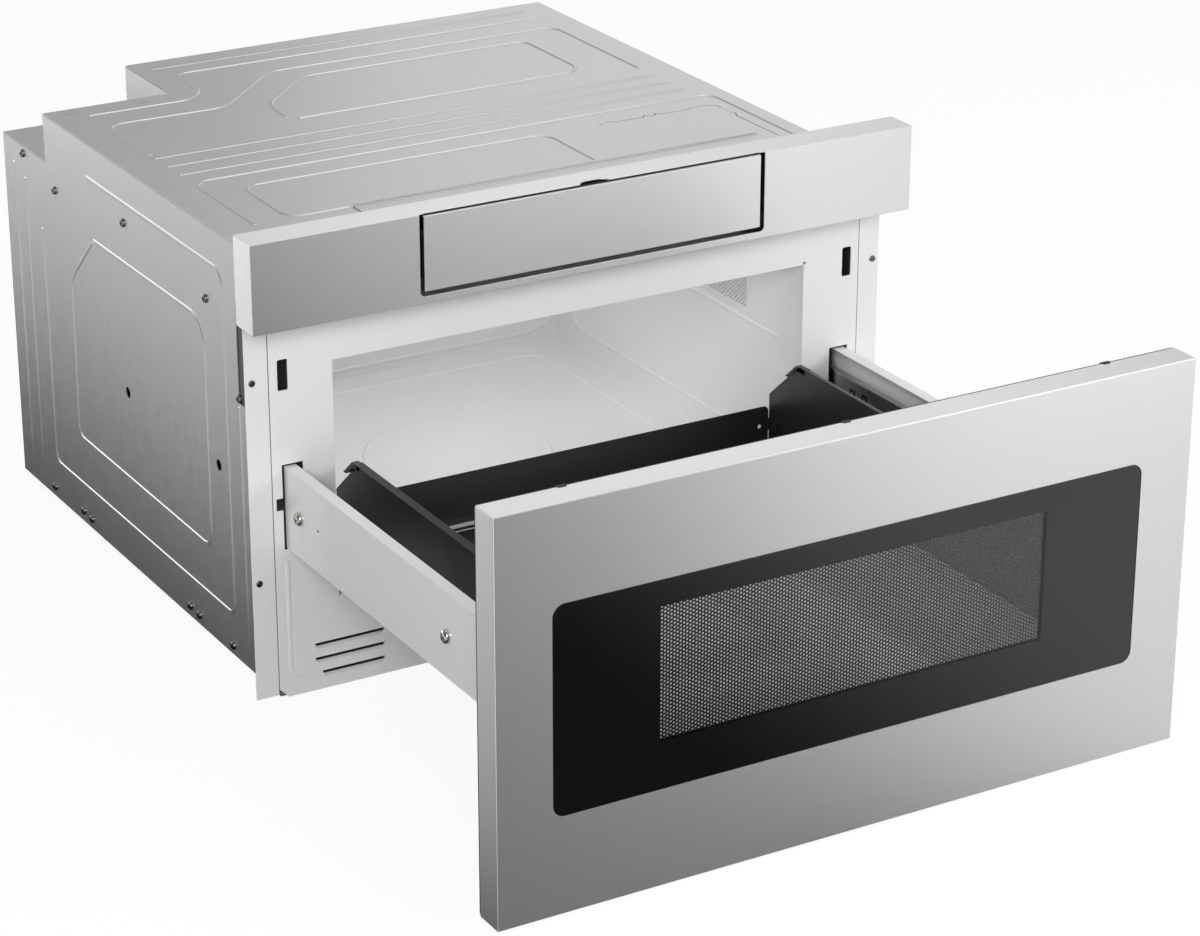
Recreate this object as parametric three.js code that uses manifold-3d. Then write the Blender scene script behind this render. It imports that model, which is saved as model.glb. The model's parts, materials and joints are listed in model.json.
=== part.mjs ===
// Built-in microwave oven with a sliding drawer, shown fully open.
// Millimetres. X runs to the right seen from the front, Y to the rear, Z up.
// Heights are above the underside of the cabinet floor, and depths are behind the front plate,
// until the last group moves both to the centre of the footprint.

import * as THREE from 'three';
import { mergeVertices } from 'three/addons/utils/BufferGeometryUtils.js';
import Module from 'manifold-3d';

const wasm = await Module();
wasm.setup();

// ---- driving dimensions -------------------------------------------------------------------

// sheets and clearances
const panelSheet = 0.8;
const panelFlange = 10;
const baseFlange = 18;
const seatGap = 0.3; // between two pieces that are screwed or laid together
const runningGap = 0.3;

// drawer travel and the room round the cavity
const doorTravel = 382;
const cavityWidth = 442;
const cavityHeight = 200.5;
const floorRoom = 81.5; // under the cavity's floor, for the waveguide
const topRoom = 88; // over the cavity, up to the cabinet's top
const sideRoom = 53.7; // beside the cavity, for the slides and the drive
const rearRoom = 131.3; // behind the cavity, for the machinery
const trayRoom = 11.6; // behind the tray when the drawer is shut

// pressed beads and skids
const beadTop = 2.2; // flat crest of a pressed bead
const beadSlope = 1;
const beadRise = 0.7;
const seamLeft = 281.4; // from the pocket's side to the stepped seam in the top
const seamRight = 28.9; // from the right edge
const seamRear = 183;
const seamLength = 102;
const seamStep = 5;
const seamWidth = 0.9;
const tabInset = 14.5; // from the left edge to the first small tab beside the pocket
const tabSide = 37; // from the pocket's side to the second
const tabRear = 4;
const tabDepth = 9;
const tabWidth = 11;
const beadLeft = 33.7; // from the left edge of the top to the ends of its beads
const beadRight = 29.2; // from its right edge
const beadCorner = 12; // largest radius of a bead's bends
const beadRear = 23; // from the rear edge to the first bead, and on to the next
const beadFoot = 38; // height of the lowest beads of the side panels
const sideContourTop = 31.5; // from the cabinet's top to the side panels' outer contour
const sideContourRear = 83;
const sideContourFront = 86.5;
const sideInnerTop = 85;
const sideInnerRear = 142;
const sideInnerFront = 126;
const sideInnerLow = 84;
const topContourRear = 82; // from the rear edge to the outer contour over the cavity
const topInnerRear = 110;
const topContourSide = 47; // from the outer to the inner contour
const topContourFront = 45; // from the straight beads to the contours
const straightBeads = 3;
const straightFront = 237.5;
const straightPitch = 25;
const frontContour = 214;
const innerContourRear = 184;
const innerContourRight = 76.5;
const skidHeight = 3;
const skidWidth = 34;
const skidSpread = 200; // from the middle skid to an outer one
const skidMargin = 30; // from the ends of the floor to the ends of a skid

// holes and front cut-out of the side panels
const sideHoleRadius = 5;
const sideHoleFront = 106;
const sideHoleRear = 291.3;
const sideHoleHeight = 165;
const sideCutDepth = 61;
const sideCutBelow = 42.5; // below the middle of the latch slots
const sideCutAbove = 43.9;

// pocket cut out of the left rear top corner, for the wall socket
const pocketWidth = 120.4;
const pocketDepth = 98.6;
const pocketHeight = 43.2;

// slots and bush in the back panel
const ventCount = 7;
const ventPitch = 12;
const ventWidth = 5;
const ventHeight = 68;
const glandInset = 38.7; // from the cabinet's left side
const glandZ = 60;
const glandBore = 4.6;
const glandBody = 8.4;
const glandFlange = 12.5;
const glandFlangeThickness = 3;
const glandReach = 9;

// white front plate and its mounting flanges
const frameSheet = 1;
const frameReturn = 14;
const frameClip = 8; // cut off its lower left corner
const frameBeadInset = 10.5; // from the plate's edge to the bead at each lower corner
const frameBeadLow = 17;
const frameBeadGap = 11.7; // from the slot down to the bead's end
const flangeGap = 0.8;
const flangeWidth = 19.9;
const flangeReturn = 15;
const flangeBottom = 2.3;
const flangeHole = 4.4;
const flangeHoleInset = 14;
const flangeHoleLow = 104.3;
const flangeHoleHigh = 275.5;

// oven cavity
const cavitySheet = 0.8;
const cavityFlange = 8;
const rimSide = 38.5; // from the cavity's walls to the rim pressed in its floor
const rimFront = 30;
const rimRear = 30.7;
const rimRadius = 24;
const wallBeadLow = 19.5; // above the cavity's floor
const wallBeadHigh = 123.5;
const wallBeadFront = 35;
const wallBeadRear = 29; // from the cavity's back
const wallBeadCorner = 15;
const backBeadSide = 5;
const backBeadLow = 8.5;
const backBeadCorner = 28;
const reliefRadius = 1.5;
const starArms = 3;
const starReach = 4.4;
const starWaist = 1;
const starTurn = 1.95;
const starInset = 1.5;
const wellRadius = 84;
const wellLedge = 4;
const wellDepth = 18;
const coverThickness = 2;
const antennaCentre = 210; // depth of the antenna's axis
const antennaGap = 10; // from the antenna's edge to the wall of its well
const antennaThickness = 1.5;
const antennaLift = 5; // above the floor of the well
const antennaMotorRadius = 25;
const antennaMotorHeight = 22;
const shaftRadius = 4;
const lampFront = 83;
const lampLength = 101;
const lampDrop = 20; // below the cavity's top
const lampRise = 13; // above the slide's bracket
const grilleColumns = 7;
const grilleRows = 3;
const grilleHole = 3.4; // radius
const lampDepth = 20;
const lampWall = 1.2;
const bulbRadius = 6;

// slide slots and latch slots in the front plate
const slotInset = 8.5; // from the front plate's edge
const slotWidth = 18.5;
const slotBelow = 36.3; // below the middle of the slides
const slotAbove = 36.8;
const slotNotchWidth = 5.7;
const slotNotchBelow = 2;
const slotNotchAbove = 8.5;
const latchInset = 11.8; // from the front plate's edge to the middle of a latch slot
const latchSlotWidth = 9;
const latchSlotHeight = 26;
const slotCorner = 1.6;
const latchDrop = 4.5; // of the latch slots' middle below the cavity's top

// louvres at the foot of the front plate
const louvreInset = 32; // from the front plate's left edge
const louvreLength = 64;
const louvreHeight = 5.2;
const louvrePitch = 12.8;
const louvreTop = 40.4;
const louvreCount = 3;
const louvreReach = 6;
const louvreSlit = 1.2; // gap over the inner edge of a slat
const louvreSlant = 3;
const cheekIn = 0.3; // from a louvre's end to its closed side
const cheekOut = 1.3;

// stainless fronts
const faceOverhang = 6.55; // of the fronts past the mounting flanges
const steelSheet = 1;
const faceInset = 33.5; // the closed door and the fascia stand this far in front of the front plate
const fasciaDrop = 42.7; // of the fascia's lower edge below the cabinet's top
const fasciaHeight = 73.5;
const fasciaBack = 3.3; // from the fascia's rear edge to the front plate
const fasciaLip = 9;
const doorBottom = -1.6;
const doorGap = 6.2; // between the door and the fascia
const doorDepth = 25.7;
const coverSheet = 1.8;
const windowSide = 45.95; // from the door's edges to the window
const windowBelow = 79.1;
const windowAbove = 76.4;
const windowRadius = 10;
const windowSeat = 12; // of the carrier round the window
const glassThickness = 4;
const glassInset = 0.3;
const screenSide = 21; // from the cavity's walls to the screen's edges
const screenBelow = 12.5;
const screenAbove = 35;
const screenRadius = 6;
const screenSheet = 0.8;

// tilting control flap
const flapWidth = 309.6;
const flapRise = 9.7; // of its lower edge above the fascia's
const flapDrop = 1.8; // of its upper edge below the fascia's
const flapSideGap = 3.8;
const flapBottomGap = 3.8;
const openingCorner = 4; // radius of the lower corners of the flap's opening
const flapSheet = 1.2;
const flapReturn = 5;
const flapAxisDepth = 7.5; // behind the flap's face
const flapAxisRise = 6; // above the flap's lower edge
const flapPinRadius = 2;
const flapPinLength = 5;
const flapFrameDepth = 7;
const touchThickness = 2;
const touchMargin = 8;
const notchWidth = 27;
const notchDepth = 7;
const rimSetback = 2.5; // the fascia's top stays this far behind its face above the flap

// control electronics behind the fascia
const housingWall = 1.5;
const housingMargin = 17.2; // past each end of the flap
const housingDepth = 20; // from its front wall to the front plate
const boardThickness = 1.6;
const relayWidth = 30;
const relayHeight = 16;
const relayDepth = 11;
const supportSheet = 0.8;
const supportDepth = 92;
const supportLip = 1.6;
const supportLeftInset = 120.7; // from the cabinet's sides to the strap's ends
const supportRightInset = 44.7;

// drawer side plates, slides and rack
const plateGap = 2.8; // between the side plates and the outer edge of their slots
const plateBelow = 35.6; // below the middle of the slides
const plateAbove = 34.8;
const plateFlange = 10.2;
const plateSheet = 0.8;
const plateTail = 34; // behind the front plate when the drawer is open
const slideRise = 83.5; // of the slides' middle above the cavity's floor
const slideHeight = 37;
const slideStart = 6;
const slideWidth = 11.1; // between the backs of the fixed and the moving member
const railSheet = 1.2;
const railLeg = 9;
const railGap = 0.3;
const ballRoom = 1.7; // between the legs of two slide members
const outerRailSpare = 75; // of each slide member's length over the travel
const middleRailSpare = 48;
const innerRailSpare = 56;
const bracketSheet = 1.2;
const bracketMargin = 3; // of the hat brackets' webs past the slides
const bracketFoot = 12;
const toothModule = 2;
const pinionTeeth = 14;
const toothReach = 0.8; // tooth height above the pitch line, in modules
const toothRoot = 1.05; // tooth depth below the pitch line, in modules
const pressureAngle = 20;
const backlash = 0.5;
const rackWidth = 10.4;
const rackRise = 4.8; // of the teeth's roots above the side plate's lower edge
const rackBody = 6.8; // above the teeth's roots
const pinionWidth = 7.5;
const pinionDepth = 24; // the pinion's axis behind the front plate
const motorThickness = 19;
const motorFront = 16; // of the gearbox before the pinion's axis
const motorRear = 28;
const motorBelow = 26;
const motorAbove = 12;
const motorCanRadius = 9;
const motorCanLength = 42;
const shaftGrip = 12; // of the pinion's shaft in the gearbox

// tray, guards and rear rail
const guardGap = 13.5; // between the guards and the cavity's walls
const guardLift = 17.2; // of the guards' lower edge above the cavity's floor
const guardSheet = 0.8;
const guardHeight = 100.3;
const guardFlange = 15;
const guardRear = 27.1;
const guardShoulder = 60.3; // height of the guards' rear edge
const guardCrown = 47; // length of the slope at the guards' rear
const hemDrop = 8;
const hemWidth = 5;
const railHeight = 49.3;
const rearRailFlange = 16;
const railHole = 1.8;
const railTabRise = 27.3;
const railTabHeight = 11;
const trayThickness = 4;

// door latch hooks, their switches and the choke frame
const hookThickness = 3;
const hookHeight = 19;
const hookReach = 28;
const hookFoot = 20;
const switchLength = 22;
const switchHeight = 18;
const switchThickness = 12;
const leverReach = 3;
const leverGap = 1.9; // between a lever and its hook when the drawer is shut
const chokeSide = 25; // past the cavity's walls
const chokeBelow = 15.5;
const chokeAbove = 15;
const chokeInnerSide = 3; // inside the cavity's walls
const chokeInnerBelow = 8.5;
const chokeInnerAbove = 14;
const chokeDepth = 5.1;

// machinery behind and below the cavity
const waveguideWidth = 92;
const waveguideHeight = 27;
const waveguideSheet = 1;
const waveguideFront = 60; // before the antenna's axis
const waveguideRear = 44; // behind the magnetron's axis
const magnetronWidth = 84;
const magnetronDepth = 64;
const magnetronHeight = 56;
const magnetronInset = 66; // from the cabinet's back to its axis
const magnetronDome = 9;
const finCount = 6;
const finThickness = 1.4;
const transformerSide = 114.7; // from the cabinet's right side to its middle
const transformerWidth = 92;
const transformerDepth = 70;
const transformerHeight = 78;
const transformerInset = 64; // from the cabinet's back to its middle
const footLength = 8;
const coilBulge = 14;
const capacitorGap = 7; // to the transformer's foot
const capacitorWidth = 34;
const capacitorDepth = 52;
const capacitorHeight = 84;
const fanSide = 124.7; // from the cabinet's left side to its axis
const fanRadius = 50;
const fanMargin = 11; // from the fan's opening to the edges of its plate
const fanInset = 84; // from the cabinet's back to the fan's plate
const fanCollar = 16;
const fanSheet = 1.2;
const fanFoot = 18;
const fanShaft = 2.5;
const bladeCount = 7;
const bladeTipGap = 2.5;
const bladeChord = 20;
const bladeThickness = 1.4;
const bladeRootPitch = 40; // degrees
const bladeTipPitch = 22;
const hubRadius = 15;
const shaftInMotor = 20;
const motorSide = 38;
const motorDepth = 26;

// ---- shapes and solids --------------------------------------------------------------------

const alongX = new THREE.Vector3(1, 0, 0);
const alongY = new THREE.Vector3(0, 1, 0);
const alongZ = new THREE.Vector3(0, 0, 1);
const arcSteps = 4;
const roundSides = 24;

/** Turns a closed geometry into a solid that can be joined and cut. */
function solid(geometry) {
  geometry.deleteAttribute('normal');
  geometry.deleteAttribute('uv');
  const merged = mergeVertices(geometry, 1e-4);
  const index = merged.index.array;
  const triangles = [];
  for (let i = 0; i < index.length; i += 3) {
    const [a, b, c] = [index[i], index[i + 1], index[i + 2]];
    if (a !== b && b !== c && c !== a) {
      triangles.push(a, b, c);
    }
  }
  return new wasm.Manifold(new wasm.Mesh({
    numProp: 3,
    vertProperties: new Float32Array(merged.attributes.position.array),
    triVerts: new Uint32Array(triangles),
  }));
}

function join(first, ...others) {
  return others.reduce((whole, other) => whole.add(other), first);
}

function cut(first, ...others) {
  return others.reduce((rest, other) => rest.subtract(other), first);
}

/** Box between two corners, given as pairs in any order. */
function block(x0, x1, y0, y1, z0, z1) {
  const geometry = new THREE.BoxGeometry(Math.abs(x1 - x0), Math.abs(y1 - y0), Math.abs(z1 - z0));
  geometry.translate((x0 + x1) / 2, (y0 + y1) / 2, (z0 + z1) / 2);
  return solid(geometry);
}

/** Closed outline from points, with optional holes. */
function outline(points, holes = []) {
  const shape = new THREE.Shape(points.map(([u, v]) => new THREE.Vector2(u, v)));
  shape.holes = holes;
  return shape;
}

/** Rectangle with rounded corners. */
function rounded(u0, u1, v0, v1, radius) {
  const shape = new THREE.Shape();
  const right = Math.PI / 2;
  shape.absarc(u1 - radius, v0 + radius, radius, -right, 0);
  shape.absarc(u1 - radius, v1 - radius, radius, 0, right);
  shape.absarc(u0 + radius, v1 - radius, radius, right, 2 * right);
  shape.absarc(u0 + radius, v0 + radius, radius, 2 * right, 3 * right);
  return shape;
}

function rectangle(u0, u1, v0, v1) {
  return outline([[u0, v0], [u1, v0], [u1, v1], [u0, v1]]);
}

function circle(u, v, radius, count = 12) {
  const points = [];
  for (let i = 0; i < count; i += 1) {
    const angle = (i * 2 * Math.PI) / count;
    points.push([u + radius * Math.cos(angle), v + radius * Math.sin(angle)]);
  }
  return outline(points);
}

/** Extrudes an outline along w and cuts its holes right through. */
function extruded(shape, depth, u, v, w, origin, curveSegments = arcSteps) {
  const rod = (path, margin) => {
    const edge = new THREE.Shape(path.getPoints(curveSegments));
    const geometry = new THREE.ExtrudeGeometry(edge, { depth: depth + 2 * margin, bevelEnabled: false });
    geometry.translate(0, 0, -margin);
    geometry.applyMatrix4(new THREE.Matrix4().makeBasis(u, v, w).setPosition(origin));
    return solid(geometry);
  };
  return cut(rod(shape, 0), ...shape.holes.map((hole) => rod(hole, 1)));
}

/** Outline in (y, z), from x0 to x1. */
function prismX(shape, x0, x1, segments) {
  const low = Math.min(x0, x1);
  const origin = new THREE.Vector3(low, 0, 0);
  return extruded(shape, Math.abs(x1 - x0), alongY, alongZ, alongX, origin, segments);
}

/** Outline in (x, z), from y0 to y1. */
function prismY(shape, y0, y1, segments) {
  const origin = new THREE.Vector3(0, Math.max(y0, y1), 0);
  return extruded(shape, Math.abs(y1 - y0), alongX, alongZ, alongY.clone().negate(), origin, segments);
}

/** Outline in (x, y), from z0 to z1. */
function prismZ(shape, z0, z1, segments) {
  const origin = new THREE.Vector3(0, 0, Math.min(z0, z1));
  return extruded(shape, Math.abs(z1 - z0), alongX, alongY, alongZ, origin, segments);
}

/** A run of points moved sideways to the left of its direction. */
function shifted(run, distance) {
  return run.map((corner, i) => {
    const before = i > 0 ? corner.clone().sub(run[i - 1]).normalize() : null;
    const after = i < run.length - 1 ? run[i + 1].clone().sub(corner).normalize() : null;
    const first = before ?? after;
    const second = after ?? before;
    const side = new THREE.Vector2(-first.y - second.y, first.x + second.x).normalize();
    const reach = distance / (side.x * -first.y + side.y * first.x);
    return corner.clone().addScaledVector(side, reach);
  });
}

/** Section of a bent sheet: the run of one face, thickened to its left. */
function sheetSection(points, thickness) {
  const run = points.map(([u, v]) => new THREE.Vector2(u, v));
  return new THREE.Shape([...run, ...shifted(run, thickness).reverse()]);
}

/** Run of points with each inner corner rounded. */
function softened(points, radius) {
  const run = points.map(([u, v]) => new THREE.Vector2(u, v));
  const soft = [run[0]];
  for (let i = 1; i < run.length - 1; i += 1) {
    const into = run[i - 1].clone().sub(run[i]);
    const out = run[i + 1].clone().sub(run[i]);
    const reach = Math.min(radius, into.length() / 2.5, out.length() / 2.5);
    const start = run[i].clone().addScaledVector(into.normalize(), reach);
    const end = run[i].clone().addScaledVector(out.normalize(), reach);
    soft.push(...new THREE.QuadraticBezierCurve(start, run[i], end).getPoints(2));
  }
  soft.push(run[run.length - 1]);
  return soft;
}

/** Pressed bead along a run of points, standing on a sheet's face, with w the sheet's normal. */
function bead(points, radius, u, v, w, origin) {
  const run = softened(points, radius);
  const ribbon = new THREE.Shape([...shifted(run, -beadTop / 2), ...shifted(run, beadTop / 2).reverse()]);
  const core = 0.02;
  const geometry = new THREE.ExtrudeGeometry(ribbon, {
    depth: core,
    bevelEnabled: true,
    bevelThickness: beadRise,
    bevelSize: beadSlope,
    bevelSegments: 1,
  });
  geometry.translate(0, 0, -core / 2);
  geometry.applyMatrix4(new THREE.Matrix4().makeBasis(u, v, w).setPosition(origin));
  return solid(geometry);
}

function beadOnX(points, radius, x) {
  return bead(points, radius, alongY, alongZ, alongX, new THREE.Vector3(x, 0, 0));
}

function beadOnY(points, radius, y) {
  return bead(points, radius, alongX, alongZ, alongY.clone().negate(), new THREE.Vector3(0, y, 0));
}

function beadOnZ(points, radius, z) {
  return bead(points, radius, alongX, alongY, alongZ, new THREE.Vector3(0, 0, z));
}

/** Solid of revolution about a line parallel to Z, from a closed or axis-to-axis profile. */
function turnedZ(profile, x, y, sides = roundSides) {
  const points = profile.map(([radius, z]) => new THREE.Vector2(radius, z));
  const geometry = new THREE.LatheGeometry(points, sides);
  geometry.rotateX(Math.PI / 2);
  geometry.translate(x, y, 0);
  return solid(geometry);
}

/** Solid of revolution about a line parallel to Y; the profile is in (radius, y). */
function turnedY(profile, x, z, sides = roundSides) {
  const points = profile.map(([radius, y]) => new THREE.Vector2(radius, y));
  const geometry = new THREE.LatheGeometry(points, sides);
  geometry.translate(x, 0, z);
  return solid(geometry);
}

// ---- finishes -----------------------------------------------------------------------------

function finish(color, roughness, metalness) {
  return () => new THREE.MeshStandardMaterial({ color, roughness, metalness });
}

const galvanised = finish(0xb3b5b6, 0.42, 0.8);
const whiteEnamel = finish(0xe6e6e6, 0.35, 0);
const stainless = finish(0xb4b6b8, 0.3, 1);
const blackSheet = finish(0x242426, 0.5, 0.1);
const blackGlass = finish(0x0a0a0c, 0.08, 0);
const opalGlass = finish(0xe2e3e2, 0.2, 0);
const blackPlastic = finish(0x1b1b1d, 0.55, 0);
const zincSteel = finish(0x9fa3a6, 0.35, 1);
const darkSteel = finish(0x5c5f61, 0.5, 0.8);
const whitePlastic = finish(0xdadad6, 0.5, 0);
const boardGreen = finish(0x2f5b3a, 0.6, 0);
const varnishedIron = finish(0x4b4038, 0.5, 0.5);
const aluminium = finish(0xc2c5c8, 0.4, 1);

// ---- the assembly -------------------------------------------------------------------------

function addPiece(name, body, material) {
  const mesh = body.getMesh();
  const geometry = new THREE.BufferGeometry();
  geometry.setAttribute('position', new THREE.BufferAttribute(new Float32Array(mesh.vertProperties), 3));
  geometry.setIndex(new THREE.BufferAttribute(new Uint32Array(mesh.triVerts), 1));
  geometry.computeVertexNormals();
  const piece = new THREE.Mesh(geometry, material());
  piece.name = name;
  assembly.add(piece);
}

const sides = [
  { label: 'left', sign: -1 },
  { label: 'right', sign: 1 },
];

// values that several pieces share
const panelFront = frameSheet + seatGap;
const cavityHalf = cavityWidth / 2;
const cavityFloor = floorRoom;
const cavityTop = cavityFloor + cavityHeight;
const cavityBack = guardRear + doorTravel + trayRoom;
const cabinetWidth = cavityWidth + 2 * sideRoom;
const cabinetDepth = cavityBack + rearRoom;
const cabinetHeight = cavityTop + topRoom;
const halfWidth = cabinetWidth / 2;
const panelRear = cabinetDepth - panelSheet - seatGap;
const panelTop = cabinetHeight - panelSheet - seatGap;
const floorHalf = halfWidth - panelSheet - seatGap;
const pocketSide = -halfWidth + pocketWidth;
const glandX = -halfWidth + glandInset;
const fanCentreX = -halfWidth + fanSide;
const transformerCentre = halfWidth - transformerSide;
const pocketFront = cabinetDepth - pocketDepth;
const pocketShelf = cabinetHeight - pocketHeight;
const frameHalf = halfWidth + seatGap + frameSheet;
const frameTop = cabinetHeight + seatGap + frameSheet;
const frameBottom = -seatGap - frameSheet;
const latchCentre = frameHalf - latchInset;
const latchMiddle = cavityTop - latchDrop;
const faceHalf = frameHalf + flangeGap + flangeWidth + faceOverhang;
const fasciaBottom = cabinetHeight - fasciaDrop;
const fasciaTop = fasciaBottom + fasciaHeight;
const doorTop = fasciaBottom - doorGap;
const doorFace = -faceInset - doorTravel;
const doorRear = doorFace + doorDepth;
const coverFront = doorRear + seatGap;
const doorBack = coverFront + coverSheet;
const drawerFront = doorBack + seatGap; // where the drawer's side pieces start
const slideMiddle = cavityFloor + slideRise;
const bracketTop = slideMiddle + slideHeight / 2 + bracketMargin + bracketFoot;
const slotOuter = frameHalf - slotInset;
const slotInner = slotOuter - slotWidth;
const plateOuter = slotOuter - plateGap;

const oven = new THREE.Group();
const assembly = new THREE.Group();
assembly.position.set(0, -cabinetDepth / 2, skidHeight);
oven.add(assembly);

// ---- cabinet ------------------------------------------------------------------------------

function basePlate() {
  const skid = (x) => {
    const foot = skidWidth / 2 - skidHeight;
    return prismY(
      outline([
        [x - skidWidth / 2, 0],
        [x - foot, -skidHeight],
        [x + foot, -skidHeight],
        [x + skidWidth / 2, 0],
        [x + skidWidth / 2, panelSheet / 2],
        [x - skidWidth / 2, panelSheet / 2],
      ]),
      panelFront + skidMargin,
      panelRear - skidMargin,
    );
  };
  const pan = cut(
    block(-floorHalf, floorHalf, panelFront, panelRear, 0, baseFlange),
    block(-floorHalf + panelSheet, floorHalf - panelSheet, panelFront - 1, panelRear - panelSheet,
      panelSheet, baseFlange + 1),
  );
  const skids = [-skidSpread, 0, skidSpread].map(skid);
  const hollows = [-skidSpread, 0, skidSpread].map((x) => {
    const foot = skidWidth / 2 - skidHeight - panelSheet;
    return prismY(
      outline([
        [x - foot - skidHeight - panelSheet, 2 * panelSheet],
        [x - foot, -skidHeight + panelSheet],
        [x + foot, -skidHeight + panelSheet],
        [x + foot + skidHeight + panelSheet, 2 * panelSheet],
      ]),
      panelFront + skidMargin + panelSheet,
      panelRear - skidMargin - panelSheet,
    );
  });
  return cut(join(pan, ...skids), ...hollows);
}

function sidePanel(sign) {
  const x0 = sign * halfWidth;
  const x1 = sign * (halfWidth - panelSheet);
  const cutBottom = latchMiddle - sideCutBelow;
  const cutTop = latchMiddle + sideCutAbove;
  const underPocket = pocketShelf - panelSheet - seatGap;
  const beforePocket = pocketFront - panelSheet - seatGap;
  const rearTop = sign < 0
    ? [[panelRear, underPocket], [beforePocket, underPocket], [beforePocket, panelTop]]
    : [[panelRear, panelTop]];
  const shape = outline([
    [panelFront, 0],
    [panelRear, 0],
    ...rearTop,
    [panelFront, panelTop],
    [panelFront, cutTop],
    [sideCutDepth, cutTop],
    [sideCutDepth, cutBottom],
    [panelFront, cutBottom],
  ], [sideHoleFront, sideHoleRear].map((y) => circle(y, sideHoleHeight, sideHoleRadius)));
  const flangeRear = sign < 0 ? beforePocket : panelRear;
  const flangeTop = sign < 0 ? underPocket : panelTop;
  const middle = sign * (halfWidth - panelSheet / 2);
  const flangeEdge = sign * (halfWidth - panelFlange);
  const topFlange = block(middle, flangeEdge, panelFront, flangeRear, panelTop - panelSheet, panelTop);
  const rearFlange = block(
    middle, flangeEdge, panelRear - panelSheet, panelRear, baseFlange + seatGap, flangeTop - panelSheet / 2);
  return join(prismX(shape, x0, x1, 4), topFlange, rearFlange, ...sideBeads(x0, cutBottom));
}

/** Beads of a side panel: three upright ones, and two contours round the middle. */
function sideBeads(x, cutBottom) {
  const rear = cabinetDepth - sideContourRear;
  const front = sideContourFront;
  const top = cabinetHeight - sideContourTop;
  const innerRear = cabinetDepth - sideInnerRear;
  const innerTop = cabinetHeight - sideInnerTop;
  const upright = (y, low, high) => [[y, low], [y, high]];
  const runs = [
    upright(cabinetDepth - beadRear, beadFoot - 14, pocketShelf - 22),
    upright(cabinetDepth - 2 * beadRear - 2, beadFoot - 12, pocketShelf - 30),
    upright(sideCutDepth, beadFoot - 15, cutBottom - 4),
    [
      [rear - 110, top], [front + 8.5, top], [front, top - 8.5], [front, beadFoot + 6],
      [front + 5.5, beadFoot], [rear - 7, beadFoot], [rear, beadFoot + 7], [rear, pocketShelf - 67],
    ],
    [
      [innerRear - 55, innerTop - 4], [innerRear - 3, innerTop - 52.5], [innerRear, sideInnerLow + 7],
      [innerRear - 8, sideInnerLow], [sideInnerFront + 8, sideInnerLow - 1],
      [sideInnerFront + 1.5, sideInnerLow + 11], [sideInnerFront, innerTop - 17],
      [sideInnerFront + 14.5, innerTop], [innerRear - 60, innerTop - 1],
    ],
  ];
  return runs.map((run) => beadOnX(run, beadCorner, x));
}

function topPanel() {
  const edge = [
    [-halfWidth, panelFront],
    [halfWidth, panelFront],
    [halfWidth, cabinetDepth],
    [pocketSide, cabinetDepth],
    [pocketSide, pocketFront],
    [-halfWidth, pocketFront],
  ];
  const sheet = prismZ(outline(edge), cabinetHeight - panelSheet, cabinetHeight);
  return cut(join(sheet, ...topBeads(cabinetHeight)), ...topSlits());
}

/** Slits in the top: the stepped edge of the cover at the right, and two small tabs by the pocket. */
function topSlits() {
  const left = pocketSide + seamLeft;
  const right = halfWidth - seamRight;
  const rear = seamRear;
  const end = rear - seamLength;
  const step = seamStep;
  const runs = [
    [[left, rear], [left + step, rear + 0.4]],
    [
      [left + 1.5 * step, rear + step / 2], [left + 3.2 * step, rear + step / 2], [left + 3.6 * step, rear],
      [left + 9 * step, rear], [left + 9.8 * step, rear + step], [left + 10.4 * step, rear],
      [left + 11.3 * step, rear], [left + 12 * step, rear + step], [left + 12.7 * step, rear],
      [left + 18.2 * step, rear], [left + 18.8 * step, rear + step / 2],
      [right - 2 * step, rear + step / 2], [right, rear - step / 2], [right, rear - 1.8 * step],
    ],
    [[right, rear - 2.6 * step], [right, rear - 3.1 * step]],
    [[right, rear - 3.7 * step], [right, rear - 4.2 * step]],
    [
      [right, rear - 5 * step], [right + step / 2, rear - 5.8 * step], [right - step / 6, rear - 7.2 * step],
      [right, end],
    ],
  ];
  for (const x of [-halfWidth + tabInset, pocketSide - tabSide]) {
    const y = pocketFront - tabRear;
    runs.push([[x, y], [x + tabWidth / 4, y]], [[x, y - tabDepth], [x + tabWidth, y - tabDepth]]);
  }
  return runs.map((points) => {
    const run = points.map(([u, v]) => new THREE.Vector2(u, v));
    const ribbon = new THREE.Shape([...shifted(run, -seamWidth / 2), ...shifted(run, seamWidth / 2).reverse()]);
    return prismZ(ribbon, cabinetHeight - panelSheet - 1, cabinetHeight + beadRise + 1);
  });
}

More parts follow.
